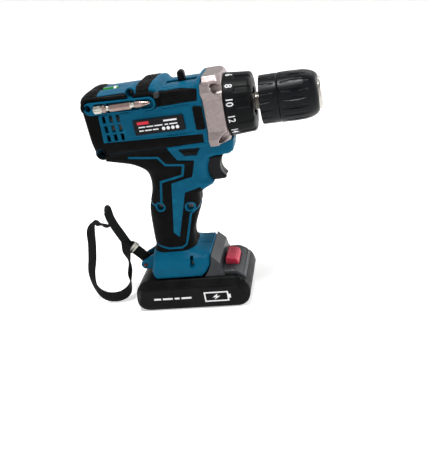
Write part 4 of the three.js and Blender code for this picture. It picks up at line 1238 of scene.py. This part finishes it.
def front_cover(x, y, z):
    """The grey cover: a hood against the foot, and a deck with a raised lip round the button's well."""
    case = battery_form(x, y, z)
    hood = round_meet(HOOD_SIDE(x, z), HOOD_SECTION(y, z), 0.4)
    rise = 1.6 + 1.8 * (1 - ease(44, 54, x))
    deep = np.abs(y)
    lip = groove(deep - 23.2, 0.6, 1) * (x > 35)
    lip = np.maximum(lip, groove(x - 53, 0.6, 1) * (deep < 23.2))
    deck = round_meet(case - rise - 0.55 * lip, deep - 24.6, 0.5)
    deck = np.maximum(deck, np.maximum(33 - x, 25.2 - z))
    deck = np.maximum(deck, x - 54.6)
    hollow = np.maximum(HOOD_SIDE(x, z) + 2.4, deep - 20)
    well = soft_box(x, y, z, ((34.8, 47.8), (-11.6, 11.6), (29.8, 60)), 0.6)
    solid = np.maximum(np.minimum(hood, deck), -np.minimum(hollow, well))
    return np.maximum(solid, -(case + 1.9))


BUTTON_SIDE = outline([(35.2, 33), (35.2, 40.2), (36.8, 41.2), (44.6, 39.8), (46.8, 38), (47.4, 33)], reach=5)


def release_button(x, y, z):
    """A cap with rows of small dots under the thumb."""
    form = round_meet(BUTTON_SIDE(x, z), np.abs(y) - 11.2, 0.6)
    dots = ridges(x - 37.6, 1.6) * ridges(y, 1.6)
    dots = dots * ease(37.6, 38.2, x) * (1 - ease(43, 43.8, x)) * (1 - ease(7.6, 8.2, np.abs(y))) * (z > 37)
    return form - 0.4 * dots


BOLT = [(26.4, 16.4), (21, 12.2), (24.4, 12.2), (22.6, 9.6), (28.8, 13.6), (25.4, 13.6)]
BATTERY_SIGN = [
    bar_shape(13, 37, 17.2, 18.6), bar_shape(13, 37, 7.4, 8.8), bar_shape(13, 14.4, 8.8, 17.2),
    bar_shape(35.6, 37, 8.8, 17.2), bar_shape(37, 39, 10.8, 15.2),
]
DASHES = [bar_shape(start, end, 12.4, 14.4) for start, end in ((-38, -31), (-29, -19), (-17, -12), (-10, 0))]


def battery_marks(finishes):
    """A battery sign, a charge bolt and plain dashes, on both sides."""
    for side, sign in (("right", -1), ("left", 1)):

        def place(u, v, w, sign=sign):
            return (-sign * u, sign * (BATTERY_SIDE + 0.02 + w), v)

        print_plate(f"battery_marks_{side}", [*BATTERY_SIGN, BOLT, *DASHES], place, finishes["print"],
                    "battery", "battery_black", 0.06)


def make_battery(finishes):
    field_piece("battery_lower_shell", battery_lower, (-59, -37, -1), (59, 37, 25), finishes["case"],
                "battery", "battery_black", ["battery_lower_case"], 0.6, 0.35)
    field_piece("battery_upper_shell", battery_upper, (-59, -37, 24), (59, 37, 38), finishes["case"],
                "battery", "battery_black", ["battery_upper_case"], 0.55, 0.4)
    field_piece("battery_hood", front_cover, (15, -29, 24), (60, 29, 54), finishes["grey"], "battery",
                "battery_grey", ["battery_front_cover"], 0.42, 0.45)
    field_piece("release_button_cap", release_button, (35, -12, 32.6), (48, 12, 42), finishes["red"],
                "release_button", "button_red", ["release_button"], 0.24, 0.5)
    battery_marks(finishes)


# ---- wrist strap: each station is x, y, z and the turn of the webbing about its own run ----
VIEWED = np.array([-0.21, -0.86, 0.46])  # the webbing's face looks this way where it isn't turned
TETHER = [(-47.6, 0, 39.2, 0), (-51.4, 0, 45.6, 0), (-57, -0.4, 52.6, 0), (-62.4, -0.8, 59.6, 0)]
LOOP = [
    (-62.6, -0.9, 59, 0), (-64.4, -1.4, 62, 0), (-68.2, 0, 69.9, 0), (-72.4, 1, 79.3, 0), (-75.4, 2, 88, 0),
    (-77, 4, 93.4, 0), (-78.6, 7.5, 95.8, 0), (-80.2, 11, 92.6, 0), (-81.6, 13, 85.6, 0),
    (-83.4, 14.5, 79, 25), (-87.2, 15, 74.4, 70), (-93, 14, 77.4, 90), (-98.8, 11.5, 80.6, 45),
    (-102.6, 7, 74.6, 0), (-103.2, 1.5, 62, 0), (-105.6, -3, 47, 0), (-108.4, -8, 33.4, 10),
    (-106.6, -12.5, 19, 30), (-97.6, -15, 8.6, 15), (-84.6, -15, 6.4, 5), (-74.4, -12, 9.4, -10),
    (-69.4, -9, 17, -45), (-68, -6, 28.4, -80), (-65.8, -6, 40.3, -60), (-65.2, -7, 48, -25),
    (-65, -6.4, 55, -5), (-65.2, -2.2, 63, 0),
]
STRAP_WIDTH = 10
STRAP_THICKNESS = 1.3
TETHER_WIDTH = 11
TETHER_THICKNESS = 2.4
CRIMP_AT = 0.69  # of the way along the tether's upper stretch
RIB = 1.5  # pitch of the webbing's cross ribs


def ribbon(stations, width, thickness):
    """A woven band with round edges and a rib at every pick, as points and faces, and its length."""
    rows = spline(stations, 40)
    distance = np.concatenate([[0], np.cumsum(np.linalg.norm(np.diff(rows[:, :3], axis=0), axis=1))])
    even = np.arange(0, distance[-1], RIB / 4)
    rows = np.stack([np.interp(even, distance, rows[:, k]) for k in range(4)], 1)
    run = np.gradient(rows[:, :3], axis=0)
    run /= np.linalg.norm(run, axis=1, keepdims=True)
    across = np.cross(run, VIEWED)
    across /= np.linalg.norm(across, axis=1, keepdims=True)
    turn = np.radians(rows[:, 3])[:, None]
    across = across * np.cos(turn) + np.cross(run, across) * np.sin(turn)
    normal = np.cross(run, across)
    upper = [(u, 1 - 0.5 * abs(u) ** 6) for u in np.linspace(-1, 1, 9)]
    section = upper + [(u, -v) for u, v in reversed(upper)]
    weave = np.sin(even * 2 * math.pi / RIB)
    points = []
    for u, v in section:
        alternate = weave * (1 if round((u + 1) * 4) % 2 else -1)
        half = width / 2 * (1 + 0.012 * weave)
        height = thickness / 2 * v * (1 + 0.16 * alternate) + 0.05 * weave * np.sign(v)
        points.append(rows[:, :3] + across * (u * half)[:, None] + normal * height[:, None])
    count = len(section)
    points = np.stack(points, 1).reshape(-1, 3)
    faces = []
    for i in range(len(rows) - 1):
        for k in range(count):
            m = (k + 1) % count
            faces.append((i * count + k, i * count + m, (i + 1) * count + m, (i + 1) * count + k))
    faces += [tuple(range(count))[::-1], tuple((len(rows) - 1) * count + k for k in range(count))]
    return points, faces, distance[-1]


def crimp_field():
    """The metal sleeve that holds the tether's ends, pinched in the middle, and where its centre lies."""
    start, end = np.array(TETHER[1][:3], float), np.array(TETHER[3][:3], float)
    run = (end - start) / np.linalg.norm(end - start)
    across = np.cross(run, VIEWED)
    across /= np.linalg.norm(across)
    normal = np.cross(run, across)
    centre = start + (end - start) * CRIMP_AT

    def field(x, y, z):
        offset = np.stack([x - centre[0], y - centre[1], z - centre[2]], -1)
        t, u, v = offset @ run, offset @ across, offset @ normal
        sleeve = rounded_rectangle(u, v, ((-6.8, 6.8), (-2.3, 2.3)), 1.5)
        sleeve = round_meet(sleeve + groove(t, 0.9, 0.5) * (np.abs(v) > 1), np.abs(t) - 2.7, 0.5)
        return np.maximum(sleeve, -rounded_rectangle(u, v, ((-5.7, 5.7), (-1.4, 1.4)), 0.8))

    return field, centre


def strap_eye(x, y, z):
    """The webbing that is wrapped round the pin."""
    radius = np.hypot(x - PIN[0], z - PIN[1])
    ribs = 0.15 * np.cos(np.arctan2(z - PIN[1], x - PIN[0]) * 16)
    return round_meet(np.maximum(radius - 4.2 + ribs, 2.3 - radius), np.abs(y) - 5.4, 0.5)


PIN_PROFILE = [(-12.8, 0), (-12.8, 1.3), (-12.4, 1.8), (12.4, 1.8), (12.8, 1.3), (12.8, 0)]


def make_strap(finishes):
    """The loop and the tether as one band, its crimp, and the eye round the pin."""
    loop, loop_faces, loop_length = ribbon(LOOP, STRAP_WIDTH, STRAP_THICKNESS)
    tether, tether_faces, tether_length = ribbon(TETHER, TETHER_WIDTH, TETHER_THICKNESS)
    points = np.vstack([loop, tether])
    faces = loop_faces + [tuple(k + len(loop) for k in face) for face in tether_faces]
    strap = mesh_piece("wrist_strap_webbing", points, faces, finishes["webbing"], "housing", "strap_webbing",
                       ["wrist_strap"], sharp=60)
    crimp, centre = crimp_field()
    clip = field_piece("strap_crimp_sleeve", crimp, centre - 10, centre + 10, finishes["pale_steel"],
                       "housing", "screw_steel", ["strap_crimp"], 0.3, 0.6)
    field_piece("strap_eye", strap_eye, (-52, -6, 35), (-41, 6, 46), finishes["webbing"], "housing",
                "strap_webbing", (), 0.3, 0.6)
    rod = lathe("strap_pin_turned", PIN_PROFILE, finishes["rust_pin"], "housing", "screw_steel",
                ["strap_pin"], 32, None, 1.2, (0, 0))
    turn = Matrix.Rotation(math.radians(90), 4, "Z")
    rod.data.transform(Matrix.Translation((PIN[0] * MM, 0, PIN[1] * MM)) @ turn)


# ---- the CAD's own inner pieces, in better materials ----
CAD_FINISHES = {
    "dark_steel": ["motor_can", "gearbox_case", "ring_gear", "clutch_spring", "trigger_spring"],
    "copper": ["rotor"],
    "steel": ["motor_pinion", "stage1_carrier", "spindle", "output_bearing", "chuck_screw", "chuck_body"],
    "pale_steel": [f"chuck_jaw_{i}" for i in (1, 2, 3)],
    "brown_steel": [f"stage{s}_planet_{i}" for s in (1, 2) for i in (1, 2, 3)],
    "black": ["switch_module", "battery_terminal_block"],
    "wrap": ["cell_block"],
    "lens": ["led_lens"],
}


def repaint_cad(finishes):
    """Gives the CAD nodes that stay visible as they are a better material."""
    for finish, names in CAD_FINISHES.items():
        for name in names:
            for slot in NODES[name].material_slots:
                slot.material = finishes[finish]


FLOOR_REACH = 4  # in metres, from the middle to an edge
FLOOR_FLAT = 1.8  # in metres, from the middle to where the sheet starts to curve up
FLOOR_DROP = 0.0004  # in metres, under the battery's base


def add_stage():
    """A white sheet, flat round the object, that curves up towards its far edges."""
    mesh = bpy.data.meshes.new("floor")
    grid = bmesh.new()
    bmesh.ops.create_grid(grid, x_segments=80, y_segments=80, size=FLOOR_REACH)
    for corner in grid.verts:
        corner.co.z = 0.6 * max(0, math.hypot(corner.co.x, corner.co.y) - FLOOR_FLAT) ** 2
    grid.to_mesh(mesh)
    grid.free()
    floor = bpy.data.objects.new("floor", mesh)
    bpy.context.collection.objects.link(floor)
    floor.location.z = -FLOOR_DROP
    glow = {"Emission_Color": (1, 1, 1, 1), "Emission_Strength": 0.42}
    surface = Surface("floor_paper", "#e9e9e8", 0.9, **glow)
    surface.relief(surface.noise(40, 2), 0.03, 0.5)
    mesh.materials.append(surface.material)
    floor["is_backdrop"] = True


# ---- making it all ----
def main():
    bpy.context.scene.view_settings.view_transform = "Standard"
    finishes = make_materials()
    add_camera()
    make_strap(finishes)
    light_studio()
    add_stage()
    make_housing(finishes)
    make_tray(finishes)
    make_label(finishes)
    make_controls(finishes)
    make_collar(finishes)
    make_ring(finishes)
    make_chuck(finishes)
    make_battery(finishes)
    repaint_cad(finishes)


main()
boxes = {"cad": CAD_BOX, "visual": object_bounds()}
{name: [[float(value) for value in corner] for corner in box] for name, box in boxes.items()}
